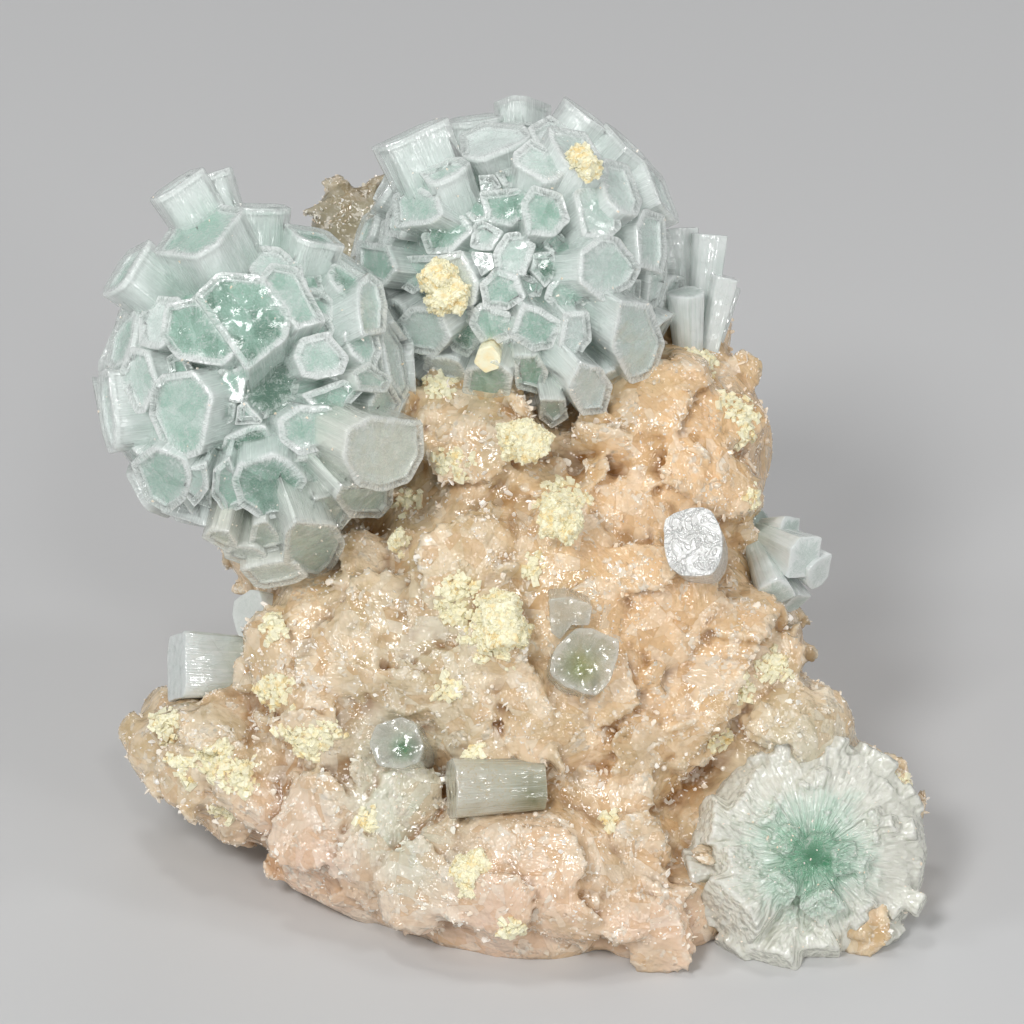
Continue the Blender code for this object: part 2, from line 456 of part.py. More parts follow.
def crystal_ball(name, ball, faces, sides, parts):
    """A ball of crystals that radiate from one centre, joined in one solid."""
    rng = random.Random(ball["seed"])
    centre = seen_at(*ball["centre"])
    crystals = []
    heads = []
    for key, (corners, reach, lean) in faces.items():
        crystals.append(faced_crystal(ball, corners, reach, lean, f"{name}_{key}", parts))
        heads.append((head_of(ball, corners, reach) - centre).normalized())
    for key, (spot, axis, width, depth, twist) in sides.items():
        crystals.append(sided_crystal(ball, spot, axis, width, depth, twist, f"{name}_{key}", parts, rng))
        heads.append((on_ball(ball, *spot, 0.0, math.copysign(1, axis[2])) - centre).normalized())
    for i, direction in enumerate(fill_directions(ball["fill"])):
        if min((direction - head).length for head in heads) < 0.32 or direction.y < -0.75:
            continue
        axis = (direction + Vector([rng.uniform(-0.12, 0.12) for _ in range(3)])).normalized()
        reach = ball["reach"] * rng.uniform(0.86, 1.0)
        outline = block_outline(rng.uniform(6.2, 8.6), rng.uniform(5.8, 8.0), rng)
        placed = Matrix.Translation(centre + direction * reach) @ axis_frame(axis, rng.uniform(0, 90))
        crystals.append(object_from(prism(outline, 12.0, CRYSTAL_TAPER, 0, placed), f"{name}_fill_{i}", parts))
    bm = bmesh.new()
    bmesh.ops.create_icosphere(bm, subdivisions=2, radius=ball["core"])
    bm.transform(Matrix.Translation(centre))
    return combine(object_from(bm, name, parts), crystals, "UNION")


def radiating_group(name, root, prisms, parts, seed, root_radius=3.0):
    """Prisms that leave one root, joined in one solid."""
    rng = random.Random(seed)
    root = seen_at(*root)
    crystals = []
    for key, (x, y, z, width, depth, twist) in prisms.items():
        head = seen_at(x, y, z)
        placed = Matrix.Translation(head) @ axis_frame(head - root, twist)
        outline = block_outline(width, depth, rng)
        crystals.append(object_from(prism(outline, (head - root).length, 0.5, 0, placed), f"{name}_{key}", parts))
    bm = bmesh.new()
    bmesh.ops.create_icosphere(bm, subdivisions=1, radius=root_radius)
    bm.transform(Matrix.Translation(root))
    return combine(object_from(bm, name, parts), crystals, "UNION")


def single_crystals(name, rows, parts, seed):
    """One crystal, or two that grew into each other."""
    rng = random.Random(seed)
    made = []
    for i, (head, axis, width, depth, length, twist) in enumerate(rows):
        placed = Matrix.Translation(seen_at(*head)) @ axis_frame(axis, twist)
        outline = block_outline(width, depth, rng, corner=0.2)
        made.append(object_from(prism(outline, length, 0.85, 0.35, placed), f"{name}_{i}", parts))
    first = made[0]
    first.name = name
    return combine(first, made[1:], "UNION") if len(made) > 1 else first


def druse(name, middle, radius, flat, seed, parts):
    """A lumpy crust of tiny crystals, as one small rough solid."""
    rng = random.Random(seed)
    bm = bmesh.new()
    bmesh.ops.create_icosphere(bm, subdivisions=2, radius=radius)
    for vert in bm.verts:
        vert.co *= rng.uniform(0.84, 1.12)
        vert.co.z *= flat
    bm.transform(Matrix.Translation(seen_at(*middle)))
    return object_from(bm, name, parts)


def stilbite_heap(parts):
    """The heap's lumps run together, with coarse facets all over."""
    bm = bmesh.new()
    for x, y, z, rx, ry, rz in HEAP_LUMPS.values():
        place = Matrix.Translation(seen_at(x, y, z)) @ Matrix.Diagonal((rx, ry, rz, 1))
        bmesh.ops.create_icosphere(bm, subdivisions=3, radius=1.0, matrix=place)
    heap = object_from(bm, "stilbite_matrix", parts)
    remesh = heap.modifiers.new("run_together", "REMESH")
    remesh.mode = "VOXEL"
    remesh.voxel_size = HEAP_VOXEL * MM
    texture = bpy.data.textures.new("heap_lumps", "VORONOI")
    texture.noise_scale = 9.0 * MM
    displace = heap.modifiers.new("lumps", "DISPLACE")
    displace.texture = texture
    displace.texture_coords = "LOCAL"
    displace.strength = HEAP_ROUGHNESS * MM
    displace.mid_level = 0.45
    decimate = heap.modifiers.new("facets", "DECIMATE")
    decimate.ratio = HEAP_SHARE_KEPT
    return evaluated_copy(heap, "stilbite_matrix", parts)


def blade(placed, half_length, half_width, half_thickness, rng):
    """A stilbite blade: a flat lens with six sides, widest in the middle and blunt at the tip."""
    bm = bmesh.new()
    outline = []
    for i in range(BLADE_SIDES):
        angle = 2 * math.pi * (i + 0.5) / BLADE_SIDES
        ragged = rng.uniform(0.88, 1.1)
        outline.append((half_length * ragged * math.cos(angle), half_width * ragged * math.sin(angle), -half_thickness))
    face = bm.faces.new([bm.verts.new(point) for point in outline])
    end = bmesh.ops.extrude_face_region(bm, geom=[face])["geom"]
    top = [v for v in end if isinstance(v, bmesh.types.BMVert)]
    bmesh.ops.translate(bm, verts=top, vec=(0, 0, 2 * half_thickness))
    bmesh.ops.scale(bm, verts=top, vec=(BLADE_TIP, BLADE_TIP, 1))
    bm.transform(placed)
    return bm


def blades_on(heap, parts):
    """The blades that stand on the heap: the ones chosen for the display face, then a scatter over the rest."""
    rng = random.Random(41)
    bm = bmesh.new()
    bm.from_mesh(heap.data)
    tree = BVHTree.FromBMesh(bm)
    bm.free()
    to_face = FACE_TO_WORLD.inverted()
    eye = FACE_TO_WORLD @ Vector(EYE)
    towards = (FACE_TO_WORLD.to_3x3() @ Vector((0, 0, 1))).normalized()
    made = []
    for i, (x, y, half_length, half_width, half_thickness, turn, tip) in enumerate(FACE_BLADES):
        spot, normal, _, _ = tree.ray_cast(eye, (FACE_TO_WORLD @ Vector((x, y, 0)) - eye).normalized())
        if spot is None:
            continue
        spot = to_face @ spot
        normal = (to_face.to_3x3() @ normal).normalized()
        axis = (normal + Vector((0, 0, tip))).normalized()
        placed = Matrix.Translation(spot - axis * half_thickness * 0.2) @ axis_frame(axis, turn)
        placed = placed @ Matrix.Rotation(rng.uniform(-0.35, 0.35), 4, "Y")
        made.append(object_from(blade(placed, half_length, half_width, half_thickness, rng), f"blade_{i}", parts))
    middle = FACE_TO_WORLD @ Vector((0, 45, -30))
    for i, direction in enumerate(fill_directions(BACK_BLADES)):
        if direction.z < -0.3 or direction.dot(towards) > 0.35:
            continue
        spot, normal, _, _ = tree.ray_cast(middle + direction * 0.2, -direction)
        if spot is None or spot.z < 0.004:
            continue
        spot = to_face @ spot
        normal = (to_face.to_3x3() @ normal).normalized()
        placed = Matrix.Translation(spot) @ axis_frame(normal, rng.uniform(0, 180))
        placed = placed @ Matrix.Rotation(rng.uniform(-0.5, 0.5), 4, "Y")
        size = rng.uniform(0.8, 1.2)
        made.append(object_from(blade(placed, 8.5 * size, 6.0 * size, 2.6, rng), f"back_blade_{i}", parts))
    return made


def ground_cutter(cutters):
    """Everything below the base plane."""
    bpy.ops.mesh.primitive_cube_add(size=1.0, location=(0, 0, -0.05))
    cutter = bpy.context.active_object
    cutter.name = "ground"
    cutter.scale = (0.4, 0.4, 0.1)
    bpy.ops.object.transform_apply(location=True, rotation=False, scale=True)
    for collection in cutter.users_collection:
        collection.objects.unlink(cutter)
    cutters.objects.link(cutter)
    return cutter


def socket_for(guest, cutters):
    """The convex outside of a piece, grown by the gap, to cut its seat in whatever it grew into."""
    bm = bmesh.new()
    bm.from_mesh(guest.data)
    hull = bmesh.ops.convex_hull(bm, input=bm.verts)
    loose = [g for g in hull["geom_interior"] + hull["geom_unused"] if isinstance(g, bmesh.types.BMVert)]
    bmesh.ops.delete(bm, geom=[v for v in loose if v.is_valid], context="VERTS")
    kept = set(g for g in hull["geom"] if isinstance(g, bmesh.types.BMFace))
    bmesh.ops.delete(bm, geom=[f for f in bm.faces if f not in kept], context="FACES_ONLY")
    bmesh.ops.delete(bm, geom=[e for e in bm.edges if not e.link_faces], context="EDGES")
    bmesh.ops.delete(bm, geom=[v for v in bm.verts if not v.link_faces], context="VERTS")
    low = Vector(map(min, zip(*(v.co for v in bm.verts))))
    high = Vector(map(max, zip(*(v.co for v in bm.verts))))
    middle = (low + high) / 2
    smallest = min((v.co - middle).length for v in bm.verts)
    grow = 1 + 1.6 * SEAT_GAP * MM / smallest
    for vert in bm.verts:
        vert.co = middle + (vert.co - middle) * grow
    face_outwards(bm)
    mesh = bpy.data.meshes.new(f"socket_{guest.name}")
    bm.to_mesh(mesh)
    bm.free()
    socket = bpy.data.objects.new(mesh.name, mesh)
    cutters.objects.link(socket)
    return socket


def boxes_meet(one, other):
    for axis in range(3):
        lows = [min(v.co[axis] for v in obj.data.vertices) for obj in (one, other)]
        highs = [max(v.co[axis] for v in obj.data.vertices) for obj in (one, other)]
        if lows[0] > highs[1] or lows[1] > highs[0]:
            return False
    return True


def seat_pieces(pieces, cutters):
    """Each piece is cut back from the ones before it in the list, so that none overlap."""
    seated = []
    for piece in pieces:
        sockets = [socket_for(other, cutters) for other in seated if boxes_meet(other, piece)]
        seated.append(combine(piece, sockets, "DIFFERENCE") if sockets else piece)
    return seated


def finish(obj, material):
    obj.data.materials.clear()
    obj.data.materials.append(material)
    obj.display_type = "SOLID"


def main():
    clear_scene()
    parts = make_collection("apophyllite_cluster")
    cutters = make_collection("cutters", is_helper=True)
    druses = [druse(name, *row, parts) for name, row in DRUSES.items()]
    singles = [single_crystals(name, rows, parts, i + 50) for i, (name, rows) in enumerate(SINGLES.items())]
    groups = [
        radiating_group("apophyllite_spray", SPRAY_ROOT, SPRAY_PRISMS, parts, 61),
        radiating_group("apophyllite_fan", FAN_ROOT, FAN_PRISMS, parts, 63, root_radius=7.0),
    ]
    balls = [
        crystal_ball("apophyllite_ball_left", LEFT_BALL, LEFT_FACES, LEFT_SIDES, parts),
        crystal_ball("apophyllite_ball_top", TOP_BALL, TOP_FACES, TOP_SIDES, parts),
    ]
    columns = radiating_group("apophyllite_columns", COLUMN_ROOT, COLUMN_PRISMS, parts, 65)
    heap = stilbite_heap(parts)
    heap = combine(heap, blades_on(heap, parts), "UNION")
    heap = combine(heap, [ground_cutter(cutters)], "DIFFERENCE")
    groups[1] = combine(groups[1], [ground_cutter(cutters)], "DIFFERENCE")
    pieces = seat_pieces([*druses, *singles, *groups, *balls, columns, heap], cutters)
    materials = {name: make_material(name) for name in FINISHES}
    for piece in pieces:
        if piece.name.startswith("cream"):
            finish(piece, materials["cream"])
        elif piece.name.startswith("stilbite"):
            finish(piece, materials["stilbite"])
        elif "ball" in piece.name or "fan" in piece.name:
            finish(piece, materials["apophyllite"])
        else:
            finish(piece, materials["apophyllite_white"])


main()
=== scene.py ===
# Apophyllite cluster: blocky green apophyllite balls, a fan and clear crystals on a heap of peach stilbite.
# The layout is in millimetres, on the display face: x to the right, y up the face, z towards the viewer.
import bisect
import json
import math
import random

import bmesh
import bpy
import numpy
from mathutils import Matrix, Vector, noise
from mathutils.bvhtree import BVHTree

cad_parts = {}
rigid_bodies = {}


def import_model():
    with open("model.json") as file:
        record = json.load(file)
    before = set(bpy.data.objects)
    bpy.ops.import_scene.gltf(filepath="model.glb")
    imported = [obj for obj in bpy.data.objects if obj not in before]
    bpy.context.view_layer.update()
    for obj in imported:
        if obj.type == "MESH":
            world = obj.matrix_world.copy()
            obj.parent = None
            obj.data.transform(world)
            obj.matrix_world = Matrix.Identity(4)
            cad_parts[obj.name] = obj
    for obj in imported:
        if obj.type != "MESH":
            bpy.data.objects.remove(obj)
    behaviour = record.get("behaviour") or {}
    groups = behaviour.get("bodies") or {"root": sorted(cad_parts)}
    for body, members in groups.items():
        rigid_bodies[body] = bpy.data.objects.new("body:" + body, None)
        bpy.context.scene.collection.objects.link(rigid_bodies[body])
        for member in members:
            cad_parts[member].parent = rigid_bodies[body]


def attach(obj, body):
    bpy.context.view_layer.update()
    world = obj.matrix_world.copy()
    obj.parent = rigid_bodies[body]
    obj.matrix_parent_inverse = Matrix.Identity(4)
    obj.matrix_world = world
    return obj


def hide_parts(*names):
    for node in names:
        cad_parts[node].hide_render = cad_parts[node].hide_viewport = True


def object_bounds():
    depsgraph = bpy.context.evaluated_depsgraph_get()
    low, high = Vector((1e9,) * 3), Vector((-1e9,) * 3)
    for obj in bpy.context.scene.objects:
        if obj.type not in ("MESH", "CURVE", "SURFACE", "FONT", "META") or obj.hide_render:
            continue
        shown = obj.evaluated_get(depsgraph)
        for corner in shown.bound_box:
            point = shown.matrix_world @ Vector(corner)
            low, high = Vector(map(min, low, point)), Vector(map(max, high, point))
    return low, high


mm = 0.001
faceLean = math.radians(30)  # the face looks this far above the horizon
eye = (0.0, 58.5, 800.0)  # where the layout is seen from
standBack = 44.3  # from the front foot to the origin, along the ground
frameWidth = 128.0  # what the picture's width takes in, at the face

faceToWorld = (
    Matrix.Translation((0.0, -standBack * mm, 0.0))
    @ Matrix.Rotation(math.pi / 2 - faceLean, 4, "X")
    @ Matrix.Scale(mm, 4)
)
worldToFace = faceToWorld.inverted()


def srgb(red, green, blue):
    def linear(part):
        part = part / 255
        return part / 12.92 if part <= 0.04045 else ((part + 0.055) / 1.055) ** 2.4

    return (linear(red), linear(green), linear(blue), 1.0)


# Node graphs, for materials and for geometry alike.
class Wire:
    # One output socket: + - * / and ** on it add Math nodes.
    def __init__(self, graph, socket):
        self.graph = graph
        self.socket = socket

    def calc(self, operation, other=0.0, flipped=False, clamp=False):
        pair = (other, self) if flipped else (self, other)
        settings = {"operation": operation, "use_clamp": clamp}
        return self.graph.make("ShaderNodeMath", settings, {0: pair[0], 1: pair[1]})

    def __add__(self, other):
        return self.calc("ADD", other)

    def __radd__(self, other):
        return self.calc("ADD", other, True)

    def __sub__(self, other):
        return self.calc("SUBTRACT", other)

    def __rsub__(self, other):
        return self.calc("SUBTRACT", other, True)

    def __mul__(self, other):
        return self.calc("MULTIPLY", other)

    def __rmul__(self, other):
        return self.calc("MULTIPLY", other, True)

    def __truediv__(self, other):
        return self.calc("DIVIDE", other)

    def __pow__(self, other):
        return self.calc("POWER", other)

    def held(self):
        return self.calc("ADD", 0.0, clamp=True)

    def least(self, other):
        return self.calc("MINIMUM", other)


class Graph:
    def __init__(self, tree):
        self.tree = tree

    # A node of any type: its settings first, then values or links for its sockets.
    def make(self, kind, settings=None, sockets=None, out=0):
        node = self.tree.nodes.new(kind)
        for key, value in (settings or {}).items():
            if key == "stops":
                ramp = node.color_ramp
                while len(ramp.elements) < len(value):
                    ramp.elements.new(0.5)
                for element, (place, colour) in zip(ramp.elements, value):
                    element.position = place
                    element.color = colour
            else:
                setattr(node, key, value)
        for key, value in (sockets or {}).items():
            if isinstance(value, Wire):
                self.tree.links.new(value.socket, node.inputs[key])
            else:
                node.inputs[key].default_value = value
        return Wire(self, node.outputs[out]) if node.outputs else node

    def blend(self, share, first, second, how="MIX"):
        settings = {"data_type": "RGBA", "blend_type": how, "clamp_factor": True}
        return self.make("ShaderNodeMix", settings, {0: share, 6: first, 7: second}, out=2)

    # From 0 at the low value to 1 at the high one, smoothly.
    def stretch(self, value, low, high):
        sockets = {0: value, 1: low, 2: high, 3: 0.0, 4: 1.0}
        return self.make("ShaderNodeMapRange", {"interpolation_type": "SMOOTHSTEP"}, sockets)

    def vector(self, operation, *values):
        out = "Value" if operation in ("LENGTH", "DISTANCE", "DOT_PRODUCT") else 0
        return self.make("ShaderNodeVectorMath", {"operation": operation}, dict(enumerate(values)), out=out)

    def part(self, vector, index):
        return self.make("ShaderNodeSeparateXYZ", {}, {0: vector}, out=index)


class Paint(Graph):
    def __init__(self, name):
        self.material = bpy.data.materials.new(name)
        self.material.use_nodes = True
        super().__init__(self.material.node_tree)
        self.tree.nodes.clear()
        self.place = self.make("ShaderNodeTexCoord", out="Object")

    def clouds(self, size, detail=3.0, rough=0.55, twist=0.0, where=None):
        sockets = {"Vector": where or self.place, "Scale": 1 / size, "Detail": detail}
        sockets |= {"Roughness": rough, "Distortion": twist}
        return self.make("ShaderNodeTexNoise", {}, sockets)

    def mapped(self, vector, scale):
        return self.make("ShaderNodeMapping", {}, {"Vector": vector, "Scale": scale})

    def ramp(self, share, rule, places):
        stops = [(place, rule[name]) for name, place in places.items()]
        return self.make("ShaderNodeValToRGB", {"stops": stops}, {0: share}, out="Color")

    def tint(self):
        return self.make("ShaderNodeAttribute", {"attribute_name": "tint"}, out="Fac")

    # The three parts of a vector that the mesh carries.
    def carried(self, name):
        vector = self.make("ShaderNodeAttribute", {"attribute_name": name}, out="Vector")
        return [self.part(vector, i) for i in range(3)]

    # Small flat faces, each tilted its own way: their height in mm, and a random tone for each.
    def facets(self, size, tilt, where=None, stretch=(1.0, 1.0, 1.0)):
        scaled = self.vector("MULTIPLY", where or self.place, tuple(part / size for part in stretch))
        chance = self.make("ShaderNodeTexVoronoi", {}, {"Vector": scaled, "Scale": 1.0}, out="Color")
        seed = Wire(self, chance.socket.node.outputs["Position"])
        away = self.vector("SUBTRACT", scaled, seed)
        slope = self.vector("SUBTRACT", chance, (0.5, 0.5, 0.5))
        return self.vector("DOT_PRODUCT", away, slope) * (size / mm * tilt), self.part(chance, 0)

    def near(self, spot, radius):
        return self.stretch(self.vector("DISTANCE", self.place, spot), radius, 0.0)

    # The height is in mm.
    def bump(self, height, strength=1.0, distance=mm):
        return self.make("ShaderNodeBump", {}, {"Height": height, "Strength": strength, "Distance": distance})

    # A second, frosted layer lies over the first where its share says.
    def finish(self, sockets, share=None, frost=None, depth=None):
        surface = self.make("ShaderNodeBsdfPrincipled", {}, sockets)
        if frost:
            over = self.make("ShaderNodeBsdfPrincipled", {}, frost)
            surface = self.make("ShaderNodeMixShader", {}, {0: share, 1: surface, 2: over})
        ends = {"Surface": surface}
        if depth:
            ends["Volume"] = self.make("ShaderNodeVolumeAbsorption", {}, depth)
        self.make("ShaderNodeOutputMaterial", {}, ends)
        return self.material


def scattering(weight, radius, scale):
    return {"Subsurface Weight": weight, "Subsurface Radius": radius, "Subsurface Scale": scale * mm}


# Materials.
crystalFinish = {
    "milk": srgb(222, 227, 224), "pale": srgb(190, 203, 196), "sea": srgb(142, 166, 152),
    "deep": srgb(58, 106, 82), "frost": srgb(232, 237, 234), "cream": srgb(236, 222, 196),
    "grey": srgb(206, 190, 156), "pearl": srgb(250, 248, 244),
    "striationsPerMm": 3.0, "ior": 1.535, "reflection": 0.9,
    "scatterRadius": (0.85, 1.0, 0.95), "scatterMm": 2.6,
    "absorbed": {"Color": (0.45, 0.85, 0.72, 1.0), "Density": 20.0},
}
heartFinish = crystalFinish | {
    "milk": srgb(226, 233, 230), "pale": srgb(196, 212, 205),
    "sea": srgb(142, 182, 164), "deep": srgb(30, 98, 70),
}
fanFinish = {
    "heart": srgb(96, 178, 132), "sea": srgb(176, 208, 186), "pale": srgb(208, 222, 208),
    "milk": srgb(226, 226, 214), "white": srgb(246, 246, 240), "frost": srgb(248, 246, 236),
}


# The fan's colour and striations spread from its root.
def fanPaint(name, root):
    rule = fanFinish
    paint = Paint(name)
    way = paint.vector("SUBTRACT", paint.place, root)
    far = paint.vector("LENGTH", way) / mm
    unit = paint.vector("NORMALIZE", way)
    rays = paint.clouds(1 / 16, 5.0, 0.7, 0.0, unit)
    curds = paint.clouds(1.2 * mm, 5.0, 0.65, 1.2)
    hollow, proud, _ = paint.carried("relief")
    spread = far + (paint.clouds(3.5 * mm, 4.0, 0.6, 0.6) - 0.5) * 7.0 + (rays - 0.5) * 7.0
    # Painted shade: hollows are painted a little deeper green.
    green = (paint.stretch(spread, 11.0, -1.5) + hollow * 0.1 - proud * 0.1).held()
    colour = paint.ramp(green, rule, {"milk": 0.0, "pale": 0.25, "sea": 0.6, "heart": 1.0})
    # Painted highlight: proud ridges are painted whiter and more frosted; the curds are the crystal's own
    # white.
    white = (proud * 0.6 + paint.stretch(curds, 0.55, 0.72) * 0.5).held()
    colour = paint.blend(white, colour, rule["white"])
    flakes, chance = paint.facets(0.9 * mm, 0.5)
    ribs = paint.clouds(1 / 15, 1.0, 0.5, 0.0, unit)
    shared = {"Normal": paint.bump(ribs * 0.8 + flakes), "IOR": 1.535}
    frosted = (paint.stretch(rays, 0.52, 0.68) * 0.5 + proud * 0.3).held()
    return paint.finish({
        **shared,
        **scattering(0.3, (0.9, 1.0, 0.88), 2.4),
        "Base Color": colour,
        "Roughness": (0.05 + curds * 0.2 + chance * 0.1).held(),
        "Specular IOR Level": 0.9,
    }, frosted, {
        **shared,
        "Base Color": paint.blend(0.5, colour, rule["frost"]),
        "Roughness": 0.14,
        "Specular IOR Level": 1.0,
    })


# Milkiness and grey dull the green, waves crumple the pearly block. A spot is a place, a radius and a colour.
def crystalPaint(name, milkiness=0.0, clear=0.0, rimHighlight=0.8, grey=0.0, relief=0.7, waves=0.0, spot=None,
                 alpha=1.0, scatter=0.42, shell=0.0, rule=crystalFinish):
    paint = Paint(name)
    rim, along, tone = paint.carried("shape")
    cap, _, warm = paint.carried("kind")
    side = 1.0 - cap
    clouds = paint.clouds(5.0 * mm, 2.0, 0.5)
    curds = paint.clouds(1.5 * mm, 3.0, 0.62, 1.0)
    threads = paint.clouds(0.42 * mm, 2.0, 0.7, 3.0)
    wisps = paint.stretch(threads * 0.65 + curds * 0.35, 0.44, 0.66)
    uv = paint.make("ShaderNodeUVMap", {"uv_map": "growth"})
    lines = paint.mapped(uv, (rule["striationsPerMm"], 0.09, 1.0))
    striae = paint.clouds(1.0, 2.0, 0.7, 0.0, lines)
    # Feathery veils run from the rim of an end face inwards.
    veils = paint.clouds(1.0, 3.0, 0.75, 1.3, paint.mapped(uv, (1.5, 0.4, 1.0)))
    feathers = paint.stretch(veils + rim * 0.12, 0.42, 0.72) * (rim ** 0.5 * 0.85 + 0.1)
    ridges = paint.clouds(1.0, 1.0, 0.5, 0.0, lines)
    steps, _ = paint.facets(1.5 * mm, 0.3)
    panes, depth = paint.facets(2.8 * mm, 0.12, stretch=(1.0, 0.6, 1.0))
    # Down the end face one looks into the green heart. The rims are painted white, a painted highlight, and
    # the frosted sides scatter white.
    fade = paint.stretch(paint.clouds(3.0 * mm, 1.0), 0.4, 0.62)
    # Painted highlight: white painted along the rims of the end faces.
    edge = rim * (0.12 + fade * 0.88) * rimHighlight
    heart = paint.stretch(edge + (curds - 0.5) * 0.3, 0.95, -0.1)
    capGreen = tone * heart * (0.1 + clouds * 1.1 + curds * 0.5 + (depth - 0.5) * 0.4)
    capGreen = capGreen - wisps * 0.24 - feathers * 0.3 + 0.1
    sideGreen = along * 0.4 - 0.04 + tone * 0.2 + (clouds - 0.5) * 0.4 - edge * 0.3 + (striae - 0.5) * 0.7
    green = ((sideGreen + (capGreen - sideGreen) * cap) * (1.0 - milkiness)).held()
    if shell:
        green = green * 0.45
    colour = paint.ramp(green, rule, {"milk": 0.0, "pale": 0.22, "sea": 0.55, "deep": 1.0})
    if grey:
        specks = paint.stretch(paint.clouds(0.35 * mm, 3.0, 0.7), 0.5, 0.66)
        colour = paint.blend((specks * 0.5 + 0.5) * grey, colour, rule["grey"])
    if spot:
        place, radius, hue = spot
        colour = paint.blend((paint.near(place, radius) * (0.5 + curds)).held(), colour, hue)
    colour = paint.blend(warm, colour, rule["cream"], "MULTIPLY")
    height = ridges * side * 0.16 + paint.clouds(2.2 * mm, 1.0) * 0.35 + steps * 0.5 + panes
    if waves:
        colour = paint.blend(0.75, colour, rule["pearl"])
        swirl = paint.clouds(2.4 * mm, 3.0, 0.6, 1.6)
        crease = paint.stretch((swirl - 0.5) * (swirl - 0.5), 0.004, 0.0)
        height = height + (swirl * 0.8 - crease * 0.3) * waves
    frosted = paint.stretch(striae, 0.5, 0.7) * side * 0.55
    frosted = frosted + (feathers * 0.4 + paint.stretch(threads, 0.52, 0.7) * 0.3) * cap
    # The shell is see-through over a heart, least where it is frosted and along its edges.
    frostAlpha = alpha
    if shell:
        veil = paint.stretch(curds * 0.6 + threads * 0.4, 0.5, 0.62) * 0.3 + feathers * 0.35
        alpha = (rim * 0.25 + side * 0.2 + veil * cap + frosted * 0.3 + shell).held()
        frostAlpha = (alpha * 1.3).held()
        colour = paint.blend(0.4, colour, rule["frost"])
    shared = {
        "Normal": paint.bump(height * relief), "IOR": rule["ior"], "Specular IOR Level": rule["reflection"],
    }
    return paint.finish({
        **shared,
        **scattering(scatter, rule["scatterRadius"], rule["scatterMm"]),
        "Base Color": colour,
        "Roughness": (0.06 + wisps * 0.1).held(),
        "Transmission Weight": clear,
        "Alpha": alpha,
    }, (frosted + edge * edge * 0.3 + milkiness * 0.15).held(), {
        **shared,
        "Base Color": paint.blend(0.45, colour, rule["frost"]),
        "Roughness": 0.16,
        "Alpha": frostAlpha,
    }, rule["absorbed"] if clear else None)


stilbiteFinish = {
    "peach": srgb(240, 214, 178), "orange": srgb(246, 204, 154), "beige": srgb(206, 180, 138),
    "pink": srgb(238, 202, 178), "glass": srgb(208, 212, 192), "brown": srgb(138, 94, 46),
    "amber": srgb(204, 156, 100), "olive": srgb(104, 94, 58), "bloom": srgb(252, 244, 228),
    "olivePlace": ((-20.5, 92, -33), 15.0),
}


def stilbitePaint(name):
    rule = stilbiteFinish
    paint = Paint(name)
    warm, glassy, pink = paint.carried("patch")
    crevice, crest, _ = paint.carried("relief")
    drift = paint.clouds(6.0 * mm, 3.0, 0.6, 0.4)
    mottle = paint.clouds(1.5 * mm, 3.0, 0.65)
    # Striations and flat faces run another way in each bundle, as in sheaves of blades.
    cells = {"Vector": paint.place, "Scale": 1 / (5.0 * mm)}
    bundle = paint.part(paint.make("ShaderNodeTexVoronoi", {}, cells, out="Color"), 0)
    turn = {"Vector": paint.place, "Axis": (0.3, -0.7, 0.6), "Angle": bundle * 6.3}
    turned = paint.make("ShaderNodeVectorRotate", {"rotation_type": "AXIS_ANGLE"}, turn)
    fibre = paint.clouds(0.5 * mm, 1.0, 0.5, 0.2, paint.mapped(turned, (1.0, 0.14, 1.0)))
    plates, chance = paint.facets(2.2 * mm, 0.36, turned, (1.0, 0.45, 1.0))
    grains, glint = paint.facets(0.5 * mm, 1.2, turned, (1.0, 0.5, 1.0))
    # Splintery spots where small blades stand in tufts and glitter.
    tufts = (paint.stretch(paint.clouds(2.6 * mm, 2.0, 0.6), 0.54, 0.62) * 0.8 + crest * 0.8).held()
    # Painted highlight: crests and the glittering tufts are painted near white; the pale mottle is the
    # stone's own.
    bloom = crest * 0.35 + paint.stretch(mottle, 0.55, 0.75) * 0.2
    bloom = bloom + tufts * paint.stretch(glint, 0.35, 0.9) * 0.6
    middle, radius = rule["olivePlace"]
    colour = paint.blend(paint.stretch(drift, 0.38, 0.62), rule["beige"], rule["peach"])
    for share, hue in (
        ((warm * (0.35 + drift)).held(), "orange"),
        # Painted reflection: a pink cast painted at the foot.
        ((pink * (0.3 + drift * 1.2)).held(), "pink"),
        ((glassy * (0.2 + drift * 1.4)).held(), "glass"),
        # Painted shade: the crevices are painted brown.
        ((crevice * 1.5).held(), "brown"),
        ((0.45 - chance).held() * 0.9, "amber"),
        ((chance - 0.6).held() * 0.8, "bloom"),
        # Painted shade: a dark olive patch on the peak between the two balls.
        (paint.near(faceToWorld @ seenAt(*middle), radius * mm), "olive"),
        (bloom.held(), "bloom"),
    ):
        colour = paint.blend(share, colour, rule[hue])
    height = paint.clouds(1.6 * mm, 1.0) * 0.4 + fibre * 0.14 + plates + grains * (tufts * 0.9 + 0.05)
    normal = paint.bump(height)
    # In the glittering tufts a second, glossier layer with a paler painted colour lies over the stone:
    # painted glints.
    return paint.finish({
        **scattering(0.1, (1.0, 0.78, 0.58), 2.2),
        "Base Color": colour,
        "Roughness": (0.04 + mottle * 0.16 + chance * 0.1).held(),
        "Normal": normal,
        "IOR": 1.5,
        "Specular IOR Level": 0.9,
    }, (tufts * paint.stretch(glint, 0.5, 0.8) * 0.6).held(), {
        "Base Color": paint.blend(0.5, colour, rule["bloom"]),
        "Roughness": 0.12,
        "Normal": normal,
        "IOR": 1.6,
        "Specular IOR Level": 1.0,
    })


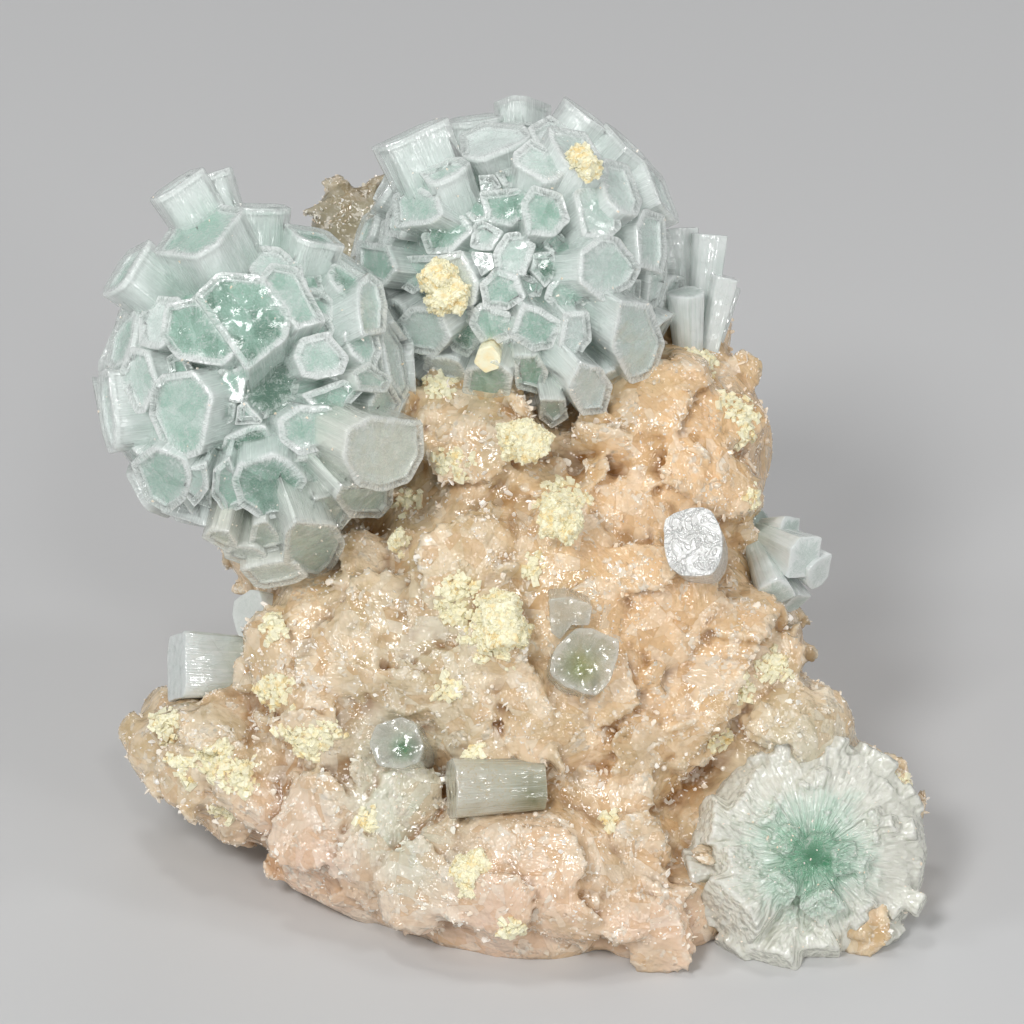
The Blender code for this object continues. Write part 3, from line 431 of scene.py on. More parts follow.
def tipPaint(name):
    paint = Paint(name)
    warm, glassy, _ = paint.carried("patch")
    tint = paint.tint()
    colour = paint.blend(tint, srgb(252, 236, 214), srgb(255, 251, 244))
    colour = paint.blend((warm * 0.7).held(), colour, srgb(250, 220, 178))
    colour = paint.blend((glassy * 0.8).held(), colour, srgb(228, 232, 216))
    return paint.finish({
        "Base Color": colour,
        "Roughness": (0.12 + tint * 0.25).held(),
        "Normal": paint.bump(paint.clouds(0.5 * mm, 3.0), 0.4, 0.15 * mm),
        "IOR": 1.5,
        "Specular IOR Level": 0.8,
    })


def sparklePaint(name):
    paint = Paint(name)
    tint = paint.tint()
    return paint.finish({
        "Base Color": paint.blend(tint, srgb(255, 252, 246), srgb(246, 226, 200)),
        "Roughness": (0.1 + tint * 0.25).held(),
        "IOR": 1.6,
        "Specular IOR Level": 1.0,
    })


def creamPaint(name, crumpled=1.0):
    paint = Paint(name)
    crumbs, chance = paint.facets(0.8 * mm, 0.4 * crumpled)
    dust, glint = paint.facets(0.3 * mm, 0.25 * crumpled)
    light = paint.clouds(1.6 * mm, 4.0, 0.6) + paint.tint() * 0.2 + (chance - 0.5) * 0.4 * crumpled
    return paint.finish({
        "Base Color": paint.blend(paint.stretch(light, 0.2, 0.6), srgb(252, 228, 168), srgb(255, 250, 218)),
        "Roughness": (0.2 + glint * 0.3).held(),
        "Normal": paint.bump(crumbs + dust),
        "IOR": 1.5,
        "Specular IOR Level": 0.5,
    })


# Places on the face.
def seenAt(x, y, z):
    spread = 1 - z / eye[2]
    return Vector((eye[0] + (x - eye[0]) * spread, eye[1] + (y - eye[1]) * spread, z))


def axisFrame(axis, twist):
    turn = Vector(axis).normalized().to_track_quat("Z", "Y").to_matrix().to_4x4()
    return turn @ Matrix.Rotation(math.radians(twist), 4, "Z")


def evenDirections(count):
    golden = math.pi * (3 - math.sqrt(5))
    for i in range(count):
        z = 1 - 2 * (i + 0.5) / count
        ring = math.sqrt(1 - z * z)
        yield Vector((ring * math.cos(golden * i), ring * math.sin(golden * i), z))


def meshOf(bm, name):
    mesh = bpy.data.meshes.new(name)
    bm.to_mesh(mesh)
    bm.free()
    return mesh


def linked(name, data):
    made = bpy.data.objects.new(name, data)
    bpy.context.scene.collection.objects.link(made)
    return made


def coat(piece, material):
    piece.data.materials.clear()
    piece.data.materials.append(material)


# The piece as its modifiers leave it; the piece itself goes.
def bakedCopy(obj, name):
    bpy.context.view_layer.update()
    graph = bpy.context.evaluated_depsgraph_get()
    mesh = bpy.data.meshes.new_from_object(obj.evaluated_get(graph))
    bpy.data.objects.remove(obj, do_unlink=True)
    return linked(name, mesh)


# Crystals that grow together: each is a closed shape of its own until they are fused into one.
class Growth:
    def __init__(self, name):
        self.name = name
        self.parts = bpy.data.collections.new(name + "Parts")
        bpy.context.scene.collection.children.link(self.parts)

    def add(self, bm):
        mesh = meshOf(bm, f"{self.name}{len(self.parts.objects)}")
        self.parts.objects.link(bpy.data.objects.new(mesh.name, mesh))

    def core(self, middle, radii):
        bm, shape, _, _ = crystalMesh()
        placed = Matrix.Translation(middle) @ Matrix.Diagonal((*radii, 1))
        bmesh.ops.create_icosphere(bm, subdivisions=3, radius=1.0, matrix=placed)
        for face in bm.faces:
            face.smooth = True
            for loop in face.loops:
                loop[shape] = (0.0, 0.8, 0.6)
        self.add(bm)

    def fused(self, material):
        first = self.parts.objects[0]
        bpy.context.scene.collection.objects.link(first)
        self.parts.objects.unlink(first)
        if len(self.parts.objects):
            union = first.modifiers.new("growTogether", "BOOLEAN")
            union.operation = "UNION"
            union.operand_type = "COLLECTION"
            union.collection = self.parts
            union.solver = "MANIFOLD"
        piece = bakedCopy(first, self.name)
        for part in list(self.parts.objects):
            bpy.data.objects.remove(part, do_unlink=True)
        bpy.data.collections.remove(self.parts)
        piece.data.transform(faceToWorld)
        piece.data.set_sharp_from_angle(angle=math.radians(38))
        coat(piece, material)
        return piece


def crystalMesh():
    bm = bmesh.new()
    shape = bm.loops.layers.float_vector.new("shape")
    kind = bm.loops.layers.float_vector.new("kind")
    return bm, shape, kind, bm.loops.layers.uv.new("growth")


crystalRings = [  # inset and depth in mm, then rim and cap
    (2.2, 0.0, 0.0, 1.0),
    (1.1, 0.0, 0.25, 1.0),
    (0.5, 0.0, 0.75, 1.0),
    (0.22, 0.0, 1.0, 1.0),
    (0.06, -0.07, 1.0, 0.6),
    (0.0, -0.24, 1.0, 0.1),
    (0.0, -0.8, 0.4, 0.0),
    (0.0, -2.4, 0.0, 0.0),
]


def signedArea(outline):
    return sum(a.x * b.y - a.y * b.x for a, b in zip(outline, outline[1:] + outline[:1])) / 2


def areaOf(outline):
    return abs(signedArea(outline))


def cutCorners(outline, cut):
    points = []
    count = len(outline)
    for i, corner in enumerate(outline):
        for other in (outline[i - 1], outline[(i + 1) % count]):
            way = other - corner
            points.append(corner + way.normalized() * min(cut, way.length * 0.3))
    return points


# Natural edges run slightly uneven.
def worn(outline, rng, step=1.0, wobble=0.07):
    points = []
    for a, b in zip(outline, outline[1:] + outline[:1]):
        way = b - a
        pieces = max(1, round(way.length / step))
        aside = Vector((way.y, -way.x)).normalized() if way.length > 1e-6 else Vector((0, 0))
        for i in range(pieces):
            points.append(a + way * (i / pieces) + aside * rng.uniform(-wobble, wobble))
    return points


def growCrystal(growth, outline, length, taper, placed, tone, grain, warm=0.0, reachIn=12.0):
    outline = [Vector(point) for point in outline]
    if signedArea(outline) < 0:
        outline.reverse()
    blunt = 0.035 * math.sqrt(areaOf(outline)) + 0.05
    outline = worn(cutCorners(outline, blunt), random.Random(round(grain * 1e6)))
    middle = sum(outline, Vector((0, 0))) / len(outline)
    broad = min(1.0, min((point - middle).length for point in outline) / 2.6)
    run = [0.0]
    for a, b in zip(outline, outline[1:] + outline[:1]):
        run.append(run[-1] + (b - a).length)
    count = len(outline)
    shift = grain * 37.0
    bm, shape, kind, uv = crystalMesh()
    rings, insets = [], []
    for inset, depth, rim, cap in crystalRings + [(0.0, -length * 0.55, 0.0, 0.0), (0.0, -length, 0.0, 0.0)]:
        scale = 1 + (taper - 1) * -depth / length
        along = min(1.0, -depth / reachIn)
        ring = []
        for i, point in enumerate(outline):
            away = point - middle
            flat = middle + away * scale * (1 - inset * broad / away.length)
            ring.append(bm.verts.new(placed @ Vector((flat.x, flat.y, depth))))
        insets.append(inset * broad)
        rings.append((ring, (rim, along, tone), (cap, grain, warm), depth))
    hub = bm.verts.new(placed @ Vector((middle.x, middle.y, 0)))

    def face(corners):
        made = bm.faces.new([corner[0] for corner in corners])
        made.smooth = True
        for loop, (_, first, second, place) in zip(made.loops, corners):
            loop[shape] = first
            loop[kind] = second
            loop[uv].uv = place

    def corner(k, i):
        ring, first, second, depth = rings[k]
        return ring[i % count], first, second, (run[i] + shift, insets[k] if second[0] > 0.9 else depth)

    for i in range(count):
        tip = (hub, (0.0, 0.0, tone), (1.0, grain, warm), (run[i] + shift, insets[0] + 1.5))
        face([tip, corner(0, i), corner(0, i + 1)])
    for k in range(len(rings) - 1):
        for i in range(count):
            face([corner(k, i), corner(k + 1, i), corner(k + 1, i + 1), corner(k, i + 1)])
    face([corner(len(rings) - 1, i) for i in reversed(range(count))])
    growth.add(bm)


def blockOutline(width, depth, rng, corner=0.24):
    points = []
    for i, (sx, sy) in enumerate(((1, 1), (-1, 1), (-1, -1), (1, -1))):
        cutX = width * corner * rng.uniform(0.6, 1.5)
        cutY = depth * corner * rng.uniform(0.6, 1.5)
        if i % 2 and rng.random() < 0.55:
            points.append((sx * width / 2.1, sy * depth / 2.1))
            continue
        ends = [(sx * (width / 2 - cutX), sy * depth / 2), (sx * width / 2, sy * (depth / 2 - cutY))]
        points += ends[::-1] if sx * sy > 0 else ends
    return points


# The two balls. A front crystal: how far its end is from the centre, its lean in x and y, tone, warmth, then
# the corners of its end as seen, x and y in turn.
leftBall = {
    "centre": (-32.0, 74.5, -6.0), "core": 15.8, "reach": 20.0, "seed": 11, "swell": 1.07,
    "taper": 0.86, "tone": (0.05, 0.45), "smallTone": (0.25, 0.7),
    "faces": {
        "gable": (23.6, -0.20, 0.05, 0.42, 0.0, -41.5, 96.5, -44.6, 91.2, -39.5, 90.5, -36.6, 92.2,
            -33.8, 96.4, -37.5, 97.2),
        "pairLeft": (20.8, 0, 0, 0.7, 0.0, -44.0, 80.6, -43.3, 84.4, -39.8, 85.2, -37.6, 82.8,
            -34.6, 78.8, -36.2, 76.9, -41.8, 77.8),
        "bigGreen": (21.6, 0.02, 0.05, 0.95, 0.0, -39.5, 85.5, -36.6, 88.4, -31.5, 88.0, -27.8, 83.2,
            -28.3, 80.4, -33.1, 76.5, -35.0, 79.4),
        "rightPane": (21.4, 0.10, 0.10, 0.5, 0.0, -31.2, 88.0, -30.1, 89.6, -26.8, 89.0, -23.4, 82.6,
            -26.8, 81.6, -27.9, 83.5),
        "smallHexagon": (21.6, 0.05, 0, 0.4, 0.0, -27.0, 77.9, -26.2, 80.2, -24.0, 80.8, -23.0, 81.0,
            -20.5, 77.8, -21.1, 76.0, -24.0, 75.2, -26.1, 75.6),
        "deepGreen": (16.6, 0, 0, 1.25, 0.0, -33.6, 76.0, -27.8, 77.4, -26.4, 75.4, -27.2, 72.6,
            -30.8, 70.2, -33.4, 71.4),
        "leftPane": (20.6, -0.12, -0.05, 0.5, 0.0, -45.2, 73.2, -44.0, 75.4, -39.8, 75.8, -37.5, 72.8,
            -39.0, 65.9, -41.0, 65.4, -44.0, 67.4, -45.4, 70.4),
        "middlePane": (20.4, 0, 0, 0.5, 0.0, -29.0, 70.0, -26.5, 71.7, -22.8, 71.6, -22.0, 70.0,
            -23.4, 66.4, -26.5, 65.6, -28.8, 67.4),
        "tealPane": (19.4, 0, 0, 0.75, 0.0, -26.0, 73.2, -21.0, 75.0, -18.6, 73.8, -21.8, 70.2,
            -24.8, 71.8),
        "bigWhite": (24.6, 0.16, -0.08, 0.08, 0.35, -20.0, 68.6, -17.0, 70.2, -11.4, 69.6, -11.2, 65.6,
            -13.0, 62.4, -16.0, 61.2, -19.0, 61.8, -20.6, 65.0),
        "darkWedge": (17.8, 0, 0, 1.1, 0.0, -36.0, 67.6, -32.6, 69.2, -31.0, 69.2, -29.2, 66.2,
            -31.4, 65.4, -36.4, 63.6),
        "lowPane": (21.2, 0, -0.08, 0.85, 0.0, -34.8, 62.2, -33.8, 64.4, -29.6, 65.5, -27.6, 64.5,
            -25.8, 62.4, -28.2, 58.3, -31.2, 57.6, -34.0, 59.4),
        "lowLeftPane": (20.4, -0.05, -0.05, 0.5, 0.0, -37.2, 63.6, -35.2, 65.0, -34.6, 62.5, -33.4, 59.2,
            -36.0, 58.4, -37.6, 60.6),
        "lowerLeftBlock": (20.8, -0.1, -0.1, 0.5, 0.0, -47.6, 64.4, -44.6, 66.4, -40.8, 64.8, -40.2, 62.4,
            -41.0, 60.0, -43.4, 58.4, -46.0, 60.0),
        "brightSliver": (20.8, -0.05, -0.1, 0.25, 0.0, -40.3, 63.7, -38.2, 64.4, -38.0, 61.2, -39.8, 59.2,
            -40.8, 60.4),
        "underMiddle": (19.6, 0, 0, 0.4, 0.1, -26.8, 65.0, -24.0, 65.6, -21.4, 62.4, -22.8, 61.0,
            -25.4, 61.0, -26.6, 62.4),
        "rightFootPane": (22.0, 0.1, -0.15, 0.25, 0.2, -20.8, 61.6, -15.0, 61.8, -15.2, 59.4, -16.6, 57.8,
            -20.2, 57.8, -21.6, 60.0),
        "footGrain": (21.2, 0.05, -0.1, 0.2, 0.2, -24.4, 60.0, -22.2, 60.4, -20.2, 57.8, -21.6, 56.2,
            -23.6, 57.2),
        "footShadow": (19.0, 0, -0.1, 0.7, 0.1, -28.4, 58.2, -26.6, 60.2, -24.6, 60.0, -23.8, 57.4,
            -26.6, 57.0),
        "footPane": (23.6, 0.05, -0.12, 0.3, 0.2, -27.8, 55.6, -26.6, 57.0, -22.0, 56.6, -21.0, 54.4,
            -22.4, 51.8, -24.6, 50.0, -27.2, 50.6, -28.4, 52.2),
        "footLeftPane": (22.0, 0, -0.1, 0.25, 0.25, -33.0, 54.4, -32.2, 56.8, -30.4, 57.2, -29.2, 55.6,
            -28.4, 54.0, -30.8, 53.4),
        "pinkFoot": (23.0, -0.1, -0.15, 0.15, 0.5, -38.8, 55.2, -37.8, 56.2, -35.4, 56.0, -34.4, 54.4,
            -35.6, 53.4),
        "rightKnob": (20.6, 0.1, 0, 0.4, 0.15, -19.6, 76.0, -17.8, 77.2, -15.0, 75.2, -15.8, 73.5,
            -18.8, 73.6),
        "rightBlade": (21.4, 0.1, 0, 0.35, 0.0, -19.0, 87.0, -17.8, 88.4, -16.2, 87.2, -15.6, 84.4,
            -15.8, 81.2, -18.4, 80.6, -19.0, 83.8),
    },
    # A crystal seen from its side: x and y of its end, reach, axis, width, depth, twist, tone and warmth.
    "sides": {
        "topBlock": ((-42.2, 99.6, 28.0), (-0.52, 0.82, 0.20), 7.2, 6.4, 20, 0.2, 0.0),
        "topSliver": ((-37.0, 101.0, 27.2), (-0.30, 0.94, 0.0), 4.2, 5.0, 10, 0.3, 0.0),
        "leftShoulder": ((-48.6, 89.0, 23.6), (-0.76, 0.60, 0.30), 8.0, 7.0, 30, 0.35, 0.0),
        "leftFlank": ((-50.8, 71.0, 20.8), (-0.94, -0.10, 0.30), 10.5, 7.5, 5, 0.15, 0.0),
        "leftCheek": ((-49.0, 80.0, 19.6), (-0.86, 0.30, 0.40), 7.5, 7.5, 25, 0.4, 0.0),
        "oliveTop": ((-31.2, 96.8, 23.0), (0.05, 0.97, 0.15), 7.0, 6.0, 15, 0.75, 0.0),
        "oliveRight": ((-24.6, 93.2, 21.4), (0.30, 0.88, 0.30), 6.5, 6.0, 35, 0.75, 0.0),
        "valley": ((-20.4, 87.6, 19.4), (0.50, 0.62, 0.55), 5.5, 6.0, 10, 0.7, 0.0),
        "valleyLow": ((-18.6, 79.6, 19.6), (0.60, 0.25, 0.72), 6.0, 5.0, 40, 0.5, 0.0),
        "paleFoot": ((-29.6, 50.6, 24.5), (0.02, -0.86, 0.46), 7.5, 6.5, 20, 0.1, 0.35),
        "paleFootLeft": ((-33.4, 53.0, 22.5), (-0.14, -0.88, 0.36), 5.5, 6.0, 5, 0.1, 0.35),
    },
}

topBall = {
    "centre": (1.0, 89.0, -17.0), "core": 15.8, "reach": 20.0, "seed": 29, "swell": 1.05,
    "taper": 0.86, "tone": (0.0, 0.35), "smallTone": (0.2, 0.65),
    "faces": {
        "leftPane": (21.6, -0.15, 0.05, 0.35, 0.0, -15.0, 98.2, -12.6, 99.6, -9.4, 98.0, -8.8, 95.6,
            -10.6, 94.4, -14.6, 94.2),
        "lowBean": (18.8, 0, 0, 0.8, 0.0, -11.4, 93.2, -8.6, 95.6, -6.0, 95.4, -5.0, 93.6, -7.6, 91.0,
            -10.6, 90.8),
        "leftStep": (18.6, 0, 0, 0.4, 0.0, -14.6, 90.6, -9.6, 90.4, -8.8, 88.0, -12.4, 85.8, -15.4, 87.4),
        "leftHollow": (20.6, 0, 0, 0.6, 0.0, -19.6, 92.6, -15.8, 91.8, -14.6, 88.6, -16.4, 86.6,
            -19.8, 88.4),
        "frontTeal": (21.0, 0.12, 0.08, 0.55, 0.0, 1.2, 97.2, 2.6, 99.4, 6.2, 98.4, 7.2, 95.0, 5.2, 93.0,
            2.0, 93.2),
        "greenDrop": (18.2, 0, 0, 0.95, 0.0, 2.8, 90.8, 5.2, 91.0, 5.6, 88.6, 4.2, 86.6, 2.4, 88.6),
        "frontRight": (21.8, 0.12, 0.02, 0.25, 0.0, 8.8, 91.0, 11.4, 93.0, 13.4, 92.8, 16.2, 89.2,
            15.2, 87.0, 11.4, 84.8, 8.6, 87.2),
        "greyKnob": (20.4, 0, 0, 0.5, 0.0, -4.0, 87.0, -2.2, 88.8, 0.6, 88.0, 1.6, 85.2, -0.6, 83.8,
            -3.6, 84.2),
        "lowerTeal": (20.6, 0.1, -0.1, 0.55, 0.0, 1.4, 84.4, 4.0, 83.6, 6.2, 82.2, 5.0, 79.0, 2.6, 78.6,
            -0.2, 80.4),
        "lowerWhite": (21.0, 0.05, -0.1, 0.15, 0.0, 6.6, 83.2, 9.6, 83.4, 10.0, 80.0, 8.6, 78.2, 6.0, 79.0),
        "rightFoot": (22.6, 0.18, -0.1, 0.2, 0.0, 13.6, 84.4, 17.4, 84.2, 19.2, 79.6, 18.0, 75.8,
            15.0, 74.6, 12.6, 78.6),
        "whiteSnout": (23.6, 0.22, -0.12, 0.12, 0.0, 8.6, 77.0, 11.2, 76.4, 12.6, 74.2, 11.8, 71.0,
            8.8, 70.6, 7.0, 73.6),
        "leftLowPane": (20.6, -0.05, -0.05, 0.3, 0.0, -14.8, 82.0, -12.8, 84.0, -9.2, 83.6, -7.8, 80.0,
            -9.6, 78.0, -13.0, 78.6),
        "lowFin": (20.6, 0, -0.05, 0.7, 0.15, 0.2, 77.8, 3.2, 78.0, 4.6, 75.8, 3.4, 73.2, 0.6, 74.0),
        "lowOlive": (21.0, -0.05, -0.1, 0.8, 0.25, -5.8, 76.2, -2.2, 77.2, 0.0, 75.4, -0.6, 72.0,
            -4.4, 71.6, -6.2, 73.6),
        "lowGrey": (22.2, 0, -0.15, 0.4, 0.15, 3.6, 72.4, 6.6, 72.4, 7.0, 70.2, 5.0, 69.0, 3.4, 70.2),
        "greenNotch": (18.0, 0, 0, 1.0, 0.0, -8.0, 81.6, -4.6, 82.8, -3.8, 80.0, -5.6, 77.8, -7.6, 78.8),
        "upperGreen": (18.4, 0, 0, 0.75, 0.0, -4.0, 98.6, 1.4, 99.2, 2.8, 97.2, 0.0, 94.2, -3.2, 95.0),
    },
    "sides": {
        "topLeftBlock": ((-12.8, 106.0, 25.0), (-0.38, 0.90, 0.16), 9.4, 7.0, 20, 0.25, 0.0),
        "topLeftStep": ((-8.4, 101.4, 22.6), (-0.30, 0.80, 0.50), 6.0, 5.0, 12, 0.3, 0.0),
        "crownLeft": ((-4.6, 107.8, 19.6), (-0.12, 0.97, 0.18), 7.0, 7.0, 5, 0.5, 0.0),
        "crownRight": ((0.4, 106.8, 18.8), (0.02, 0.96, 0.24), 5.5, 6.0, 30, 0.5, 0.0),
        "crownBack": ((1.0, 109.4, 21.0), (0.0, 0.95, -0.30), 6.5, 6.0, 45, 0.1, 0.0),
        "crestSlab": ((9.6, 108.2, 21.6), (0.58, 0.78, 0.12), 7.6, 7.0, -52, 0.1, 0.0),
        "crestSlabRight": ((14.8, 104.4, 21.4), (0.66, 0.70, 0.14), 7.6, 7.0, -48, 0.12, 0.0),
        "bigSlab": ((8.4, 103.6, 22.0), (0.45, 0.72, 0.50), 9.6, 7.0, -48, 0.15, 0.0),
        "rightSlab": ((18.8, 98.8, 21.2), (0.88, 0.44, 0.22), 8.0, 7.6, -30, 0.1, 0.0),
        "rightSlabFront": ((13.6, 99.2, 21.8), (0.62, 0.52, 0.58), 8.6, 6.4, -35, 0.15, 0.0),
        "rightColumn": ((17.6, 92.4, 20.4), (0.82, 0.12, 0.54), 8.0, 7.0, -10, 0.2, 0.0),
        "rightLowColumn": ((20.0, 85.0, 19.8), (0.90, -0.20, 0.36), 6.5, 7.0, 5, 0.2, 0.0),
        "leftEdge": ((-18.6, 93.4, 20.4), (-0.90, 0.30, 0.30), 6.0, 7.0, 15, 0.45, 0.0),
        "frontSlab": ((3.6, 102.4, 21.4), (0.16, 0.66, 0.73), 7.0, 5.5, -25, 0.3, 0.0),
        "frontSlabLow": ((10.8, 96.2, 21.0), (0.46, 0.34, 0.82), 7.5, 6.0, -30, 0.25, 0.0),
    },
}


def onBall(ball, x, y, reach, least, way=1):
    centre = seenAt(*ball["centre"])
    z = centre.z
    for _ in range(3):
        spot = seenAt(x, y, z)
        z = centre.z + way * math.sqrt(max(reach**2 - (spot.xy - centre.xy).length_squared, least**2))
    return seenAt(x, y, z)


def clipped(outline, way, limit):
    kept = []
    for a, b in zip(outline, outline[1:] + outline[:1]):
        heightA, heightB = a.dot(way) - limit, b.dot(way) - limit
        if heightA <= 0:
            kept.append(a)
        if heightA * heightB < 0:
            kept.append(a + (b - a) * (heightA / (heightA - heightB)))
    return kept


# The crystals without an outline fill the ball's skin, big ones first, each cut off where it meets the next.
fillSizes = (4.5, 3.9, 3.4, 2.9, 2.4, 2.0, 1.6)


# Corners as the camera sees them, laid on the plane of a crystal's end.
def outlineOn(placed, corners):
    head, axis = placed.translation, placed.col[2].xyz
    inverse = placed.inverted()
    outline = []
    for x, y in corners:
        x, y, _ = seenAt(x, y, head.z)
        z = head.z - ((x - head.x) * axis.x + (y - head.y) * axis.y) / axis.z
        outline.append((inverse @ Vector((x, y, z))).xy)
    return outline


def growBall(name, ball, material):
    rng = random.Random(ball["seed"])
    look = random.Random(ball["seed"] + 1)
    centre = seenAt(*ball["centre"])
    growth = Growth(name)
    seats = []  # direction and radius, on a ball of the usual reach
    taper = ball["taper"]
    usual = ball["reach"]
    for reach, leanX, leanY, tone, warm, *flat in ball["faces"].values():
        corners = list(zip(flat[::2], flat[1::2]))
        x, y = (sum(values) / len(corners) for values in zip(*corners))
        head = onBall(ball, x, y, reach, 3.0)
        sway = (look.uniform(-0.1, 0.1), look.uniform(-0.1, 0.1))
        axis = ((head - centre).normalized() + Vector((leanX + sway[0], leanY + sway[1], 0))).normalized()
        placed = Matrix.Translation(head) @ axisFrame(axis, 0)
        outline = [point * ball["swell"] for point in outlineOn(placed, corners)]
        growCrystal(growth, outline, min(reach - 4.0, 16.0), taper, placed, tone, look.random(), warm)
        seats.append(((head - centre).normalized(), math.sqrt(areaOf(outline) / math.pi) * usual / reach))
    for spot, axis, width, depth, twist, tone, warm in ball["sides"].values():
        head = onBall(ball, *spot, 0.0, math.copysign(1, axis[2]))
        placed = Matrix.Translation(head) @ axisFrame(axis, twist)
        growCrystal(growth, blockOutline(width, depth, rng), 14.0, taper, placed, tone, look.random(), warm)
        seats.append(((head - centre).normalized(), math.sqrt(width * depth / math.pi)))
    directions = list(evenDirections(1100))
    rng.shuffle(directions)
    given = len(seats)
    for size in fillSizes:
        for direction in directions:
            if all((direction - other).length * usual > 0.84 * (size + radius) for other, radius in seats):
                seats.append((direction, size))
    for direction, size in seats[given:]:
        axis = (direction + Vector([look.uniform(-0.17, 0.17) for _ in range(3)])).normalized()
        reach = usual * (0.88 + 0.03 * (size - 1.6)) + look.uniform(-0.9, 0.9)
        placed = Matrix.Translation(centre + direction * reach) @ axisFrame(axis, look.uniform(0, 90))
        inverse = placed.to_3x3().inverted()
        outline = [Vector(point) for point in blockOutline(size * 2.5, size * 2.4, look)]
        if signedArea(outline) < 0:
            outline.reverse()
        for other, radius in seats:
            gap = (other - direction).length * usual
            if 0 < gap < 2.2 * (size + radius):
                way = (inverse @ (other - direction)).xy
                if way.length > 1e-6 and len(outline) > 2:
                    share = size / (size + radius) * reach / usual
                    outline = clipped(outline, way.normalized(), gap * share - 0.07)
        if len(outline) < 3 or areaOf(outline) < 1.6:
            continue
        low, high = ball["smallTone"] if size < 3 else ball["tone"]
        growCrystal(growth, outline, 8.0, 0.62, placed, look.uniform(low, high), look.random())
    growth.core(centre, [ball["core"]] * 3)
    print(name, len(seats), "crystals")
    return growth.fused(material)


# Prisms that leave one root: head x, y, z, width, depth, twist, tone.
fanRule = {
    "root": (37.5, 16.0, -9.0), "seed": 63, "rootRadii": (14.6, 14.4, 7.8), "warm": 0.05,
    "heart": (37.5, 15.6, -0.5),  # the middle of the deep green
    "prisms": {
        "northWestHigh": (28.2, 23.6, -4.8, 7.0, 4.6, 30, 0.2),
        "northWest": (24.2, 20.0, -4.2, 8.0, 5.0, 55, 0.25),
        "west": (26.2, 13.8, -1.2, 5.6, 4.8, 5, 0.5),
        "westEnd": (21.6, 13.6, -5.4, 5.2, 4.8, 40, 0.3),
        "whiteDrum": (27.0, 8.0, -0.8, 9.4, 9.0, 20, 0.1),
        "southWest": (27.4, 3.4, -5.0, 5.6, 5.0, 10, 0.2),
        "south": (32.2, 2.4, -2.2, 7.0, 5.6, 35, 0.2),
        "southMiddle": (37.8, 3.2, -3.4, 6.6, 5.4, 5, 0.25),
        "greenDrop": (38.9, 9.0, 0.2, 4.8, 4.4, 30, 0.7),
        "middle": (33.2, 11.2, 0.4, 4.6, 4.0, 10, 0.35),
        "southEast": (43.8, 7.4, -4.4, 6.2, 5.0, 20, 0.2),
        "eastLow": (48.4, 10.4, -7.4, 6.6, 5.2, 40, 0.1),
        "east": (48.8, 15.4, -7.6, 6.4, 5.4, 10, 0.1),
        "eastFront": (45.0, 13.0, -2.8, 6.0, 4.6, 35, 0.2),
        "northEast": (45.2, 21.0, -6.4, 6.2, 4.8, 15, 0.1),
        "north": (35.0, 26.2, -5.6, 5.6, 4.8, 0, 0.1),
        "northInner": (31.6, 21.8, -3.0, 5.4, 4.2, 25, 0.35),
        "northRight": (40.0, 24.4, -6.4, 4.8, 4.0, 30, 0.1),
    },
    # Slimmer prisms close the fan between the named ones: how many, how far out and how high they end.
    "slim": 58, "slimReach": (12.5, 16.2), "slimRise": (0.5, 4.2), "slimWidth": (2.0, 3.4),
    "crown": 34, "crownReach": (6.5, 11.5), "crownRise": (5.2, 6.8), "crownWidth": (2.4, 3.8),
    "middle": 10, "middleReach": (0.5, 5.0), "middleRise": (8.0, 8.8), "middleWidth": (3.0, 4.4),
}
sprayRule = {
    "root": (29.5, 56.5, -19.0), "seed": 61, "rootRadii": (3.0, 3.0, 3.0), "warm": 0.0,
    "prisms": {
        "main": (36.6, 52.8, -10.0, 5.6, 5.0, 25, 0.25),
        "tip": (38.4, 50.8, -12.4, 4.6, 4.4, 40, 0.15),
        "low": (32.8, 48.2, -9.6, 4.8, 4.2, 10, 0.3),
        "under": (35.4, 47.0, -14.0, 3.8, 3.6, 30, 0.3),
        "upper": (34.8, 56.0, -14.6, 4.0, 4.0, 0, 0.4),
    },
}
columnRule = {
    "root": (22.5, 70.0, -22.0), "seed": 65, "rootRadii": (3.0, 3.0, 3.0), "warm": 0.0,
    "prisms": {
        "tall": (24.6, 93.2, -21.5, 4.6, 5.0, 8, 0.05),
        "inner": (20.8, 93.8, -23.5, 4.2, 4.8, 20, 0.05),
        "outer": (26.4, 88.0, -19.5, 3.4, 4.0, 12, 0.05),
        "front": (21.8, 86.0, -16.0, 4.6, 4.4, 35, 0.3),
        "spur": (27.2, 86.6, -24.0, 3.0, 3.4, 0, 0.05),
    },
}


